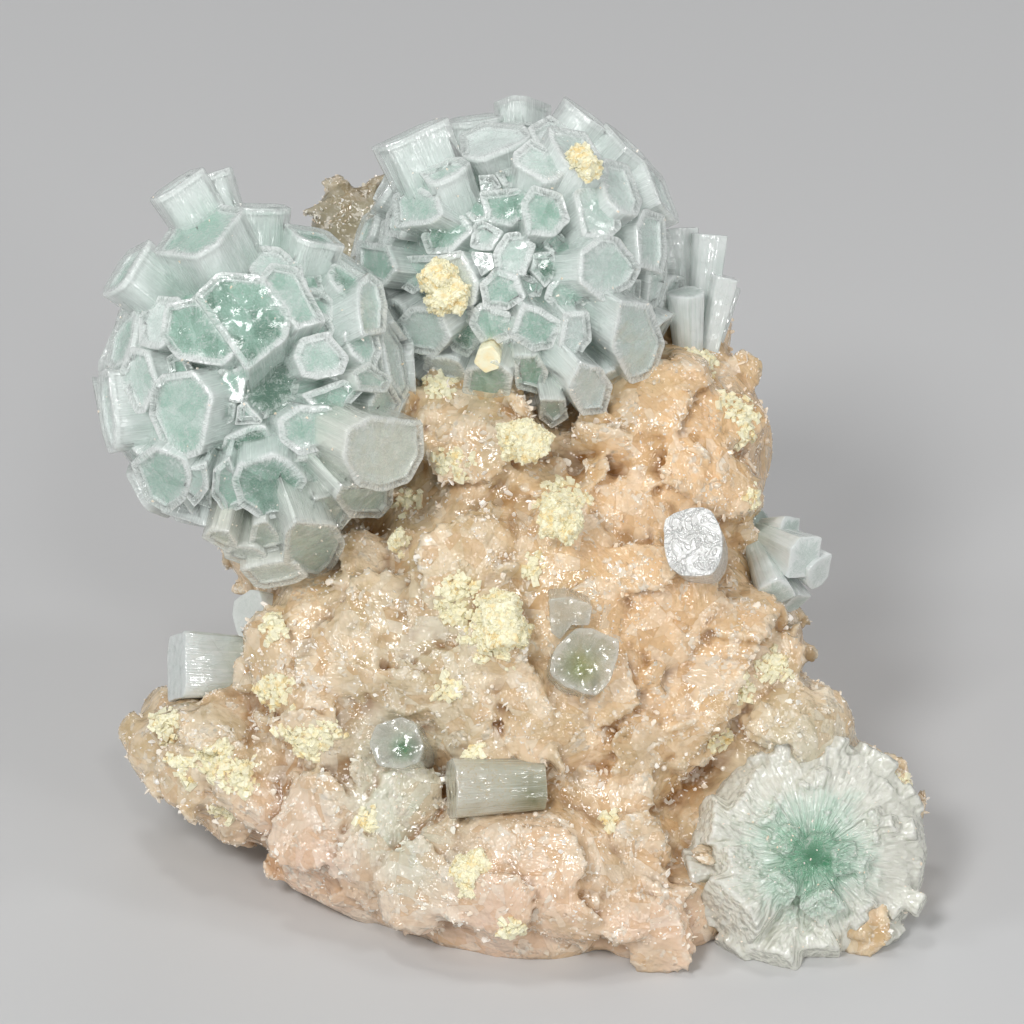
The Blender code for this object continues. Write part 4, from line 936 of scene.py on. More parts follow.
def growGroup(name, rule, material, reachIn, voxel=None):
    rng = random.Random(rule["seed"])
    look = random.Random(rule["seed"] + 1)
    root = seenAt(*rule["root"])
    growth = Growth(name)
    for x, y, z, width, depth, twist, tone in rule["prisms"].values():
        head = seenAt(x, y, z)
        way = head - root
        placed = Matrix.Translation(head) @ axisFrame(way, twist)
        outline = blockOutline(width, depth, rng)
        growCrystal(growth, outline, way.length, 0.5, placed, tone, look.random(), rule["warm"], reachIn)
    for kind in ("slim", "crown", "middle"):
        count = rule.get(kind, 0)
        for i in range(count):
            angle = math.tau * (i + look.uniform(-0.3, 0.3)) / count
            reach, rise = look.uniform(*rule[kind + "Reach"]), look.uniform(*rule[kind + "Rise"])
            way = Vector((math.cos(angle) * reach, math.sin(angle) * reach, rise))
            placed = Matrix.Translation(root + way) @ axisFrame(way, look.uniform(0, 90))
            width = look.uniform(*rule[kind + "Width"])
            outline = blockOutline(width, width * 0.85, look)
            growCrystal(growth, outline, way.length, 0.35, placed, 0.2, look.random(), rule["warm"], reachIn)
    growth.core(root, rule["rootRadii"])
    piece = growth.fused(material)
    if voxel:
        piece = remeshed(piece, voxel, name)
        roughen(piece, "CLOUDS", 1.2, 0.3, 0.5)
        piece = keptInside(piece, name)
        coat(piece, material)
        reliefOf(piece)
    return piece


# Single crystals. Blocks: head x, y, z, the long axis, width, depth, length, twist, tone, warmth. Those whose
# end faces the viewer: its corners as seen, its depth, the axis, length, tone, warmth.
singles = {
    "blockLeft": ("apophyllite_block_left", 50, [
        ((-42.0, 39.2, -15.0), (-0.90, 0.04, 0.36), 8.6, 7.4, 14.0, 10, 0.05, 0.0),
    ], []),
    "blockClear": ("apophyllite_block_clear", 51, [], [
        ([(19.0, 57.5), (20.5, 58.5), (22.2, 59.0), (24.1, 59.2), (25.0, 58.6), (26.0, 56.8), (26.4, 54.4),
          (26.0, 52.2), (25.0, 50.8), (23.5, 50.4), (21.0, 50.6), (19.5, 51.8), (18.9, 54.4)],
         3.4, (-0.14, 0.16, 0.97), 9.0, 0.0, 0.0),
    ]),
    "greenPair": ("apophyllite_pair", 52, [], [
        ([(4.6, 47.6), (7.5, 47.8), (10.0, 46.8), (9.7, 44.3), (7.6, 44.4), (6.0, 42.4), (4.8, 43.5)],
         4.6, (0.05, -0.30, 0.95), 9.0, 0.1, 0.1),
        ([(8.1, 44.1), (10.0, 44.0), (13.5, 42.5), (13.4, 40.6), (12.5, 37.8), (10.8, 35.6), (9.1, 35.8),
          (6.4, 36.8), (4.8, 38.3), (4.8, 40.4), (6.0, 42.2)],
         5.6, (0.12, 0.16, 0.98), 10.0, 0.35, 0.1),
    ]),
    "prismLow": ("apophyllite_prism_low", 53, [
        ((-7.6, 23.9, 1.2), (-0.97, -0.03, 0.22), 7.4, 6.8, 11.6, 8, 0.3, 0.1),
    ], []),
    "prismGreenEye": ("apophyllite_prism_green_eye", 54, [], [
        ([(-18.0, 29.4), (-17.2, 31.8), (-14.0, 33.0), (-12.1, 32.2), (-11.0, 29.4), (-11.6, 27.2),
          (-14.0, 26.4), (-16.8, 26.8)],
         1.2, (-0.25, 0.15, 0.94), 8.0, 0.2, 0.1),
    ]),
    "creamGrain": ("cream_grain", 56, [], [
        ([(-4.8, 77.2), (-4.2, 78.8), (-2.6, 79.2), (-1.4, 78.0), (-1.6, 76.4), (-3.4, 75.8)],
         0.6, (-0.15, -0.45, 0.88), 3.2, 0.0, 0.0),
    ]),
    "whiteKnob": ("heulandite_knob", 55, [
        ((-33.0, 45.8, -12.0), (-0.70, 0.10, 0.70), 5.6, 5.6, 8.0, 30, 0.0, 0.1),
    ], []),
}

# The slots of the single crystals that aren't clear.
nodeSlots = {
    "apophyllite_pair": "apophyllite_green",
    "cream_grain": "cream_druse",
    "apophyllite_prism_green_eye": "apophyllite_green",
}


# A ball's crystals again, further in: what shows through their clear shell.
def heartOf(piece, depth, material):
    heart = linked("heart", piece.data.copy())
    shrink = heart.modifiers.new("shrink", "DISPLACE")
    shrink.strength = -depth * mm
    shrink.mid_level = 0.0
    heart = bakedCopy(heart, piece.name + "Heart")
    coat(heart, material)
    return heart


def growSingle(name, rows, faces, seed, material):
    rng = random.Random(seed)
    growth = Growth(name)
    for head, axis, width, depth, length, twist, tone, warm in rows:
        placed = Matrix.Translation(seenAt(*head)) @ axisFrame(axis, twist)
        outline = blockOutline(width, depth, rng, corner=0.2)
        growCrystal(growth, outline, length, 0.85, placed, tone, rng.random(), warm)
    for corners, z, axis, length, tone, warm in faces:
        x, y = (sum(values) / len(corners) for values in zip(*corners))
        placed = Matrix.Translation(seenAt(x, y, z)) @ axisFrame(axis, 0)
        growCrystal(growth, outlineOn(placed, corners), length, 0.92, placed, tone, rng.random(), warm)
    return growth.fused(material)


# The stilbite heap: lump centre x, y, z, then radii.
heapRule = {
    "voxel": 0.45,
    "triangles": 185000,
    "sheaves": 420,
    "sheafLength": (1.8, 3.8),
    "lumps": {
        "core": (2, 42, -21, 28, 30, 23),
        "frontFoot": (2, 14, -14, 22, 12, 18),
        "frontLeftFoot": (-17.5, 19.5, -15, 13.5, 11.5, 13),
        "rightFoot": (31, 15, -17, 18, 15, 12),
        "rightRim": (41.5, 18, -17, 9.3, 12, 9),
        "rightRimLow": (43, 10.5, -11, 6, 6, 8),
        "frontRightFoot": (17, 9, -8, 9, 7, 8),
        "rightTopRim": (34, 31, -14, 8, 7, 9),
        "rightWaist": (25, 40, -20, 11.8, 15, 15),
        "rightShoulder": (18, 64, -21, 12.5, 17, 15),
        "rightEdge": (24, 67, -23, 8.5, 12, 10),
        "leftWing": (-29, 28, -20, 17, 10.5, 12),
        "leftWingTip": (-39.8, 29, -22, 8.4, 7.5, 8),
        "leftWaist": (-19, 38, -17, 15, 19, 16),
        "leftNeck": (-24, 60, -24, 13, 17, 14),
        "leftCrest": (-17, 82, -33, 11, 16, 11),
        "leftPeak": (-20.5, 92, -33, 5, 6.5, 6),
        "underTopBall": (-5, 69, -12, 9, 7, 9),
        "underBothBalls": (-12, 74, -22, 8, 8, 10),
        "rightCrest": (8, 74, -37, 18, 20, 14),
        "rightHorn": (21, 80, -27, 6, 9, 7),
        "backFoot": (2, 38, -49, 29, 22, 19),
        "backWaist": (-3, 60, -42, 22, 24, 16),
    },
    # Patches of colour as seen: x, y, radius, then how warm, how glassy, and how strong the pink painted
    # reflection is, a pink cast painted at the foot.
    "patches": {
        "rightShoulder": (24, 68, 11, 1.0, 0, 0),
        "rightBelly": (19, 42, 12, 1.0, 0, 0),
        "upperBelly": (10, 56, 9, 0.5, 0, 0),
        "foot": (-4, 8, 14, 0, 0, 0.8),
        "leftFoot": (-25, 16, 12, 0, 0, 0.9),
        "rightFoot": (20, 6, 8, 0, 0, 0.7),
        "glassyLeft": (-15, 25, 9, 0, 0.9, 0),
        "glassyMiddle": (-12, 14, 7, 0, 0.6, 0),
        "glassyNeck": (-9, 44, 8, 0, 0.5, 0),
        "glassyRight": (36, 29, 8, 0, 0.6, 0),
        "wing": (-38, 28, 10, 0, 0.25, 0),
        "greyCrest": (-20, 90, 12, 0, 0.8, 0),
    },
}


def roughen(obj, kind, size, strength, middle):
    texture = bpy.data.textures.new(f"{obj.name}{kind}{size}", kind)
    texture.noise_scale = size * mm
    modifier = obj.modifiers.new(f"{kind}{size}", "DISPLACE")
    modifier.texture = texture
    modifier.texture_coords = "LOCAL"
    modifier.strength = strength * mm
    modifier.mid_level = middle


def fromBm(bm, name, place=None):
    if place:
        bm.transform(place)
    return linked(name, meshOf(bm, name))


def remeshed(obj, voxel, name):
    remesh = obj.modifiers.new("runTogether", "REMESH")
    remesh.mode = "VOXEL"
    remesh.voxel_size = voxel * mm
    remesh.use_smooth_shade = True
    return bakedCopy(obj, name)


# Stilbite sheaves placed on the face: x, y, half length, half width, half thickness, turn, tip to the viewer.
faceBlades = [
    (-6, 66, 6.5, 4.5, 1.8, 10, 0.3), (4, 62, 6.0, 4.0, 1.6, -15, 0.2), (-5, 52, 7.5, 6.0, 2.0, 25, 0.4),
    (-9, 46, 6.5, 5.0, 2.0, 60, 0.3), (13, 66, 6.5, 4.5, 1.8, 50, 0.3), (18, 72, 6.0, 5.5, 1.8, 70, 0.3),
    (15, 58, 6.5, 4.5, 1.8, 5, 0.2), (14, 51, 6.5, 3.5, 1.6, 65, 0.3), (24, 63, 6.5, 4.5, 1.6, 100, 0.3),
    (20, 45, 7.5, 6.0, 2.0, -30, 0.4), (24, 38, 7.0, 6.0, 2.0, 20, 0.4), (19, 33, 7.0, 6.0, 2.0, -60, 0.5),
    (11, 37, 5.5, 4.0, 1.6, 40, 0.3), (11, 25, 7.5, 6.5, 2.2, 15, 0.6), (17, 27, 6.5, 5.5, 1.8, 75, 0.4),
    (-2, 38, 7.5, 5.5, 2.0, -10, 0.3), (-7, 35, 6.5, 5.0, 1.8, 35, 0.3), (2, 32, 6.0, 3.5, 1.8, -20, 0.3),
    (-2, 29, 6.0, 3.5, 1.8, -25, 0.4), (-15, 45, 6.5, 5.5, 2.0, 80, 0.3), (-18, 52, 6.0, 4.0, 1.8, 110, 0.2),
    (-14, 35, 6.0, 5.0, 1.8, 140, 0.3), (-21, 41, 6.0, 5.5, 1.8, 30, 0.2), (-30, 40, 6.5, 4.5, 1.8, 35, 0.2),
    (-24, 30, 6.0, 4.0, 1.8, -35, 0.3), (-37, 32, 6.0, 4.5, 1.8, 20, 0.2), (-42, 33, 4.5, 3.5, 1.6, 80, 0.1),
    (-33, 23, 7.0, 4.0, 1.8, -30, 0.3), (-41, 25, 5.0, 3.5, 1.6, -50, 0.2),
    (-25, 20, 7.5, 5.0, 2.0, -45, 0.4),
    (-18, 14, 6.5, 4.5, 1.8, -60, 0.4), (-14, 22, 6.5, 4.5, 1.8, 10, 0.3), (-12, 12, 7.0, 5.5, 2.0, 95, 0.4),
    (-3, 10, 6.5, 5.0, 2.0, -15, 0.4), (4, 14, 6.5, 5.5, 2.0, 30, 0.5), (6, 8, 6.5, 4.5, 1.8, -5, 0.4),
    (14, 10, 6.0, 5.0, 1.8, 70, 0.4), (18, 6, 6.5, 4.0, 1.6, 110, 0.4), (16, 17, 5.5, 4.0, 1.6, 20, 0.3),
    (28, 45, 6.0, 5.0, 2.2, 70, 0.4), (31, 40, 6.0, 4.5, 1.6, 120, 0.2), (33, 33, 6.0, 4.5, 1.6, 35, 0.3),
    (38, 31, 6.0, 4.0, 1.6, 125, 0.2), (45, 24, 5.5, 4.5, 1.6, 100, 0.2), (45, 20, 5.5, 4.5, 1.6, -15, 0.3),
    (43, 8, 5.0, 3.5, 1.6, -30, 0.3), (28, 70, 4.5, 3.5, 1.6, 95, 0.1), (28, 60, 4.5, 3.0, 1.4, 100, 0.1),
    (22, 77, 5.0, 3.0, 1.4, 95, 0.1),
]


# One small stilbite blade: flat, lying along x from its root, with a slanted tip and thin edges.
def growBlade(bm, placed, length, width, thick, rng):
    tip = rng.uniform(-0.3, 0.3) * width
    outline = [
        (0, -0.3 * width), (0.35 * length, -0.5 * width), (0.84 * length, -0.42 * width), (length, tip),
        (0.88 * length, 0.42 * width), (0.3 * length, 0.5 * width), (0, 0.3 * width),
    ]
    layers = []
    for height, share in ((-0.5, 0.72), (-0.12, 1.0), (0.12, 1.0), (0.5, 0.72)):
        spots = [Vector((x * (0.12 + 0.88 * share), y * share, height * thick)) for x, y in outline]
        layers.append([bm.verts.new(placed @ spot) for spot in spots])
    bm.faces.new(layers[0][::-1])
    bm.faces.new(layers[-1])
    for lower, upper in zip(layers, layers[1:]):
        for i in range(len(outline)):
            j = (i + 1) % len(outline)
            bm.faces.new((lower[i], lower[j], upper[j], upper[i]))


# A broad stilbite plate: a low dome on both sides, its edge ragged where the blades' ends show.
plateRings = ((1.0, 0.0), (0.9, 0.42), (0.72, 0.72), (0.42, 0.92))  # share of the radius, share of the height


def growPlate(bm, placed, halfLength, halfWidth, halfThickness, rng, sides=34):
    edge = []
    phase, lobes = rng.uniform(0, 6.3), rng.choice((2, 3, 5))
    for i in range(sides):
        angle = math.tau * i / sides
        blunt = (abs(math.cos(angle)) ** 2.5 + abs(math.sin(angle)) ** 2.5) ** (-1 / 2.5)
        tooth = rng.uniform(0.02, 0.1) * (1 if i % 2 else -1)
        reach = blunt * (1 + tooth + 0.07 * math.sin(lobes * angle + phase))
        edge.append(Vector((halfLength * reach * math.cos(angle), halfWidth * reach * math.sin(angle))))
    sheets = []
    for way in (1, -1):
        rings = []
        for share, height in plateRings[1 if way < 0 else 0:]:
            lifts = [way * height * halfThickness * rng.uniform(0.86, 1.12) for _ in edge]
            spots = [Vector((*(point * share), lift)) for point, lift in zip(edge, lifts)]
            rings.append([bm.verts.new(placed @ spot) for spot in spots])
        sheets.append((rings, bm.verts.new(placed @ Vector((0, 0, way * halfThickness)))))
    (top, topHub), (bottom, bottomHub) = sheets
    for rings, hub, flip in ((top, topHub, False), ([top[0]] + bottom, bottomHub, True)):
        for outer, inner in zip(rings, rings[1:]):
            for i in range(sides):
                j = (i + 1) % sides
                quad = [outer[i], outer[j], inner[j], inner[i]]
                bm.faces.new(quad[::-1] if flip else quad)
        for i in range(sides):
            corners = [rings[-1][i], rings[-1][(i + 1) % sides], hub]
            bm.faces.new(corners[::-1] if flip else corners)


def swung(rng, most, axis):
    return Matrix.Rotation(rng.uniform(-most, most), 4, axis)


# A few plates on each other, each turned a little further.
def growSheaf(bm, placed, halfLength, halfWidth, halfThickness, rng, plates=4):
    for i in range(plates):
        aside = [rng.uniform(-0.16, 0.16) * half for half in (halfLength, halfWidth)]
        shift = Vector((*aside, (i - plates / 2) * halfThickness * 0.55))
        lean = swung(rng, 0.2, "Y") @ swung(rng, 0.2, "X")
        stacked = placed @ Matrix.Translation(shift) @ lean @ swung(rng, 0.3, "Z")
        size = rng.uniform(0.78, 1.04)
        growPlate(bm, stacked, halfLength * size, halfWidth * size, halfThickness * 0.6, rng)


def surfaceSpots(mesh, count, rng):
    areas = []
    total = 0.0
    for polygon in mesh.polygons:
        total += polygon.area
        areas.append(total)
    for _ in range(count):
        polygon = mesh.polygons[bisect.bisect_left(areas, rng.uniform(0, total))]
        yield polygon.center.copy(), polygon.normal.copy()


# What the ground and the room around the specimen leave of a piece.
def keptInside(piece, name):
    low, high = (Vector(corner) for corner in cadBox)
    margin = Vector((1.0, 1.0, 1.0)) * mm
    low, high = low - margin, high + margin
    low.z = 0.0
    bm = bmesh.new()
    box = Matrix.Translation((low + high) / 2) @ Matrix.Diagonal((*(high - low), 1))
    bmesh.ops.create_cube(bm, size=1.0, matrix=box)
    room = fromBm(bm, "room")
    keep = piece.modifiers.new("keepInside", "BOOLEAN")
    keep.operation = "INTERSECT"
    keep.object = room
    keep.solver = "MANIFOLD"
    piece = bakedCopy(piece, name)
    bpy.data.objects.remove(room, do_unlink=True)
    return piece


def growHeap():
    rng = random.Random(41)
    bm = bmesh.new()
    for x, y, z, rx, ry, rz in heapRule["lumps"].values():
        place = Matrix.Translation(seenAt(x, y, z)) @ Matrix.Diagonal((rx, ry, rz, 1))
        bmesh.ops.create_icosphere(bm, subdivisions=4, radius=1.0, matrix=place)
    heap = remeshed(fromBm(bm, "heapLumps", faceToWorld), 1.6, "heapLumps")
    roughen(heap, "VORONOI", 9.0, 3.0, 0.45)
    heap = bakedCopy(heap, "heapBase")
    base = BVHTree.FromObject(heap, bpy.context.evaluated_depsgraph_get())
    bm = bmesh.new()
    bm.from_mesh(heap.data)
    bm.transform(worldToFace)
    eyeSpot = faceToWorld @ Vector(eye)
    for x, y, halfLength, halfWidth, halfThickness, turn, tip in faceBlades:
        spot, normal, _, _ = base.ray_cast(eyeSpot, (faceToWorld @ Vector((x, y, 0)) - eyeSpot).normalized())
        if spot is None:
            continue
        spot = worldToFace @ spot
        normal = (worldToFace.to_3x3() @ normal).normalized()
        axis = (normal + Vector((0, 0, tip))).normalized()
        placed = Matrix.Translation(spot - axis * halfThickness * 0.2) @ axisFrame(axis, turn)
        placed = placed @ swung(rng, 0.5, "Y") @ swung(rng, 0.35, "X")
        growSheaf(bm, placed, halfLength, halfWidth, halfThickness * 0.9, rng)
    for spot, normal in surfaceSpots(heap.data, heapRule["sheaves"], rng):
        if spot.z < 3.0 * mm:  # none at the ground
            continue
        spot = worldToFace @ spot
        normal = (worldToFace.to_3x3() @ normal).normalized()
        size = rng.uniform(*heapRule["sheafLength"])
        placed = Matrix.Translation(spot + normal * size * 0.05) @ axisFrame(normal, rng.uniform(0, 360))
        placed = placed @ Matrix.Rotation(rng.uniform(-1.1, -0.4), 4, "Y")
        growSheaf(bm, placed, size, size * rng.uniform(0.55, 0.85), size * 0.24, rng, plates=2)
    bpy.data.objects.remove(heap, do_unlink=True)
    heap = remeshed(fromBm(bm, "stilbiteHeap", faceToWorld), heapRule["voxel"], "stilbiteHeap")
    roughen(heap, "CLOUDS", 2.2, 0.3, 0.5)
    roughen(heap, "CLOUDS", 0.7, 0.12, 0.5)
    thin = heap.modifiers.new("thin", "DECIMATE")
    thin.ratio = min(1.0, heapRule["triangles"] / (2 * len(heap.data.polygons)))
    heap = keptInside(heap, "stilbiteHeap")
    for polygon in heap.data.polygons:
        polygon.use_smooth = True
    return heap


def coordinates(mesh, field="co"):
    flat = numpy.empty(len(mesh.vertices) * 3, dtype=numpy.float32)
    mesh.vertices.foreach_get(field, flat)
    return flat.reshape(-1, 3)


def carry(mesh, title, values):
    layer = mesh.attributes.new(title, "FLOAT_VECTOR" if values.ndim > 1 else "FLOAT", "POINT")
    layer.data.foreach_set("vector" if values.ndim > 1 else "value", values.astype(numpy.float32).ravel())


# Colour patches, laid over the heap as they are seen.
def markPatches(mesh):
    turn = numpy.array(worldToFace)
    face = coordinates(mesh) @ turn[:3, :3].T + turn[:3, 3]
    spread = 1 - face[:, 2] / eye[2]
    x = eye[0] + (face[:, 0] - eye[0]) / spread
    y = eye[1] + (face[:, 1] - eye[1]) / spread
    patch = numpy.zeros((len(face), 3))
    for px, py, radius, *strengths in heapRule["patches"].values():
        patch += numpy.exp(-((x - px) ** 2 + (y - py) ** 2) / radius**2)[:, None] * numpy.array(strengths)
    carry(mesh, "patch", numpy.clip(patch, 0, 1))


# Where the surface is hollow or proud, found against smoothed copies of itself.
def reliefOf(heap):
    rises = []
    for rounds in (12, 70):
        smooth = linked("smooth", heap.data.copy())
        modifier = smooth.modifiers.new("smooth", "SMOOTH")
        modifier.factor = 0.5
        modifier.iterations = rounds
        smooth = bakedCopy(smooth, "smooth")
        away = coordinates(heap.data) - coordinates(smooth.data)
        rises.append((away * coordinates(heap.data, "normal")).sum(axis=1) / mm)
        bpy.data.objects.remove(smooth, do_unlink=True)
    hollow = numpy.clip(-rises[0] * 0.9 - rises[1] * 0.75 - 0.1, 0, 1)
    proud = numpy.clip(rises[0] * 2.2 - 0.12, 0, 1)
    carry(heap.data, "relief", numpy.stack([hollow, proud, numpy.zeros(len(hollow))], axis=1))
    return hollow, proud


# Geometry Nodes that scatter small shapes over a surface.
def scatterTree(name):
    tree = bpy.data.node_groups.new(name, "GeometryNodeTree")
    for title, kind in (
        ("Geometry", "Geometry"), ("Shapes", "Collection"), ("Per square metre", "Float"),
        ("Smallest", "Float"), ("Largest", "Float"), ("Tumble", "Float"),
        ("Seed", "Int"), ("Finish", "Material"),
    ):
        tree.interface.new_socket(name=title, in_out="INPUT", socket_type="NodeSocket" + kind)
    tree.interface.new_socket(name="Geometry", in_out="OUTPUT", socket_type="NodeSocketGeometry")
    graph = Graph(tree)
    given = tree.nodes.new("NodeGroupInput")
    wires = {socket.name: Wire(graph, socket) for socket in given.outputs}
    stand = graph.make("GeometryNodeInputNamedAttribute", {"data_type": "FLOAT"}, {"Name": "stand"})
    points = tree.nodes.new("GeometryNodeDistributePointsOnFaces")
    points.distribute_method = "RANDOM"
    tree.links.new(wires["Geometry"].socket, points.inputs["Mesh"])
    tree.links.new((wires["Per square metre"] * stand).socket, points.inputs["Density"])
    tree.links.new(wires["Seed"].socket, points.inputs["Seed"])
    tumble = wires["Tumble"]
    corner = graph.make("ShaderNodeCombineXYZ", {}, {0: tumble, 1: tumble, 2: 3.14})
    low = graph.make("ShaderNodeVectorMath", {"operation": "SCALE"}, {0: corner, "Scale": -1.0})
    angles = graph.make("FunctionNodeRandomValue", {"data_type": "FLOAT_VECTOR"},
                        {0: low, 1: corner, "Seed": 5})
    spin = graph.make("FunctionNodeEulerToRotation", {}, {0: angles})
    turned = graph.make("FunctionNodeRotateRotation", {"rotation_space": "LOCAL"},
                        {0: Wire(graph, points.outputs["Rotation"]), 1: spin})
    size = graph.make("FunctionNodeRandomValue", {"data_type": "FLOAT"},
                      {2: wires["Smallest"], 3: wires["Largest"], "Seed": 9}, out=1)
    shapes = graph.make("GeometryNodeCollectionInfo", {}, {0: wires["Shapes"], 1: True, 2: True})
    pick = graph.make("FunctionNodeRandomValue", {"data_type": "INT"}, {4: 0, 5: 9, "Seed": 13}, out=2)
    stood = graph.make("GeometryNodeInstanceOnPoints", {}, {
        "Points": Wire(graph, points.outputs["Points"]), "Instance": shapes, "Pick Instance": True,
        "Instance Index": pick, "Rotation": turned, "Scale": size,
    })
    tint = graph.make("FunctionNodeRandomValue", {"data_type": "FLOAT"}, {2: 0.0, 3: 1.0, "Seed": 17}, out=1)
    marked = graph.make("GeometryNodeStoreNamedAttribute", {"data_type": "FLOAT", "domain": "INSTANCE"},
                        {"Geometry": stood, "Name": "tint", "Value": tint})
    real = graph.make("GeometryNodeRealizeInstances", {}, {0: marked})
    finished = graph.make("GeometryNodeSetMaterial", {}, {"Geometry": real, "Material": wires["Finish"]})
    last = tree.nodes.new("NodeGroupOutput")
    tree.links.new(finished.socket, last.inputs["Geometry"])
    return tree


# Small shapes over a piece: stand is how thick they stand at each point, many is for a square metre.
def scatterOver(tree, host, stand, name, material, shapes, many, smallest, largest, tumble, seed):
    if "stand" in host.data.attributes:
        host.data.attributes.remove(host.data.attributes["stand"])
    carry(host.data, "stand", stand)
    carrier = linked(name + "Host", host.data.copy())
    modifier = carrier.modifiers.new("scatter", "NODES")
    modifier.node_group = tree
    given = {
        "Shapes": shapes, "Per square metre": many, "Smallest": smallest * mm, "Largest": largest * mm,
        "Tumble": tumble, "Seed": seed, "Finish": material,
    }
    for item in tree.interface.items_tree:
        if item.item_type == "SOCKET" and item.in_out == "INPUT" and item.name in given:
            modifier[item.identifier] = given[item.name]
    return bakedCopy(carrier, name)


def shapeCollection(name, makers):
    collection = bpy.data.collections.new(name)
    for i, maker in enumerate(makers):
        bm = bmesh.new()
        maker(bm)
        bmesh.ops.recalc_face_normals(bm, faces=bm.faces)
        mesh = meshOf(bm, f"{name}{i}")
        collection.objects.link(bpy.data.objects.new(mesh.name, mesh))
    return collection


def grainMaker(length, seed):
    def make(bm):
        rng = random.Random(seed)
        bmesh.ops.create_cube(bm, size=1.0)
        for vert in bm.verts:
            vert.co.z *= length
            if vert.co.z > 0:
                vert.co.xy *= rng.uniform(0.3, 0.9)

    return make


def smallBladeMaker(seed):
    def make(bm):
        rng = random.Random(seed)
        stood = Matrix.Rotation(-math.pi / 2, 4, "Y") @ Matrix.Translation((-0.45, 0, 0))
        growBlade(bm, stood, 1.0, rng.uniform(0.4, 0.7), rng.uniform(0.14, 0.24), rng)

    return make


def makeBead(bm):
    bmesh.ops.create_icosphere(bm, subdivisions=2, radius=0.5)
    for face in bm.faces:
        face.smooth = True


# Cream crusts: x, y, z, radius, flatness, seed, and the CAD node each stands for.
druses = {
    "creamBallLarge": ((-8.2, 86.6, 1.0), 3.7, 0.72, 3, "cream_druse_ball_large"),
    "creamBallSmall": ((9.2, 102.2, 1.6), 2.4, 0.72, 5, "cream_druse_ball_small"),
    "creamUpper": ((1.6, 67.4, 1.8), 3.5, 0.6, 9, "cream_druse_upper"),
    "creamMiddle": ((6.2, 57.8, 4.2), 3.1, 0.6, 13, "cream_druse_middle"),
    "creamCentre": ((-1.4, 45.0, 5.2), 4.3, 0.55, 15, "cream_druse_centre"),
    "creamFoot": ((-5.0, 13.2, 2.6), 3.4, 0.7, 17, "cream_druse_foot"),
}

# More cream sugar on the heap, as seen: x, y, radius.
creamPatches = [
    (-7.7, 64.6, 2.0), (6.5, 60.5, 2.6), (2.9, 51.6, 1.5), (-7.0, 47.5, 2.6), (-2.0, 44.5, 3.6),
    (-14.4, 55.0, 1.8), (-30.0, 36.2, 2.4), (-26.5, 30.0, 2.6), (-23.4, 30.8, 1.8), (-34.0, 25.6, 2.2),
    (-37.2, 27.5, 2.4), (-43.4, 32.0, 2.0), (-5.9, 27.2, 1.8), (0.0, 6.3, 1.6), (-9.0, 74.4, 1.8),
    (28.4, 71.4, 2.2), (29.2, 68.4, 1.8), (30.6, 60.0, 1.7), (32.2, 39.0, 2.0), (28.8, 36.3, 1.5),
    (46.6, 24.4, 2.2), (-8.1, 36.5, 1.4), (-41.0, 27.0, 1.6), (24.0, 78.0, 1.6), (-30.0, 44.5, 1.5),
    (12.0, 20.0, 1.2), (-18.0, 20.5, 1.3), (26.0, 30.0, 1.3), (-12.5, 60.0, 1.4), (-36.0, 21.0, 1.4),
]


# Small blades and glints stand in tufts.
def tuftsOf(mesh):
    places = (coordinates(mesh) / mm / 2.4).tolist()
    grain = [noise.noise(Vector(place)) + 0.4 * noise.noise(Vector(place) * 2.7) for place in places]
    return numpy.clip(numpy.array(grain) * 4.0 - 0.6, 0, 1)


def creamStand(mesh, surface):
    places = coordinates(mesh) / mm
    grain = numpy.array([noise.noise(Vector(place) / 1.3) for place in places.tolist()])
    stand = numpy.zeros(len(places))
    eyeSpot = faceToWorld @ Vector(eye)
    for x, y, radius in creamPatches:
        spot, _, _, _ = surface.ray_cast(eyeSpot, (faceToWorld @ Vector((x, y, 0)) - eyeSpot).normalized())
        if spot:
            away = numpy.linalg.norm(places - numpy.array(spot) / mm, axis=1)
            stand = numpy.maximum(stand, (away < radius * (0.95 + grain * 1.1)).astype(float))
    return stand


def growDruse(name, tree, shapes, middle, radius, flat, seed, paint):
    rng = random.Random(seed)
    bm = bmesh.new()
    for i in range(11):
        size = radius * (0.7 if i == 0 else rng.uniform(0.26, 0.46))
        away = Vector((rng.gauss(0, 1), rng.gauss(0, 1), rng.gauss(0, 0.6) * flat)).normalized()
        placed = Matrix.Translation(seenAt(*middle) + away * (0 if i == 0 else radius * 0.5))
        stretched = Matrix.Diagonal((rng.uniform(0.8, 1.3), rng.uniform(0.8, 1.2), rng.uniform(0.7, 1.1), 1))
        turned = Matrix.Rotation(rng.uniform(0, 6.3), 4, (rng.random(), rng.random(), 1))
        bmesh.ops.create_cube(bm, size=size * 1.7, matrix=placed @ turned @ stretched)
    crust = remeshed(fromBm(bm, name + "Crust", faceToWorld), 0.16, name + "Crust")
    roughen(crust, "CLOUDS", 0.9, 0.5, 0.5)
    crust = bakedCopy(crust, name + "Crust")
    coat(crust, paint)
    grains = scatterOver(tree, crust, numpy.ones(len(crust.data.vertices)), name + "Grains", paint, shapes,
                         many=5.0e6, smallest=0.15, largest=0.5, tumble=1.2, seed=seed)
    return joined(name, [crust, grains])


def joined(name, objects):
    bm = bmesh.new()
    for obj in objects:
        bm.from_mesh(obj.data)
    materials = list(objects[0].data.materials)
    mesh = meshOf(bm, name)
    for obj in objects:
        bpy.data.objects.remove(obj, do_unlink=True)
    for material in materials:
        mesh.materials.append(material)
    return linked(name, mesh)


def place(piece, slot, *nodes):
    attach(piece, "root")
    if nodes:
        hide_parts(*nodes)


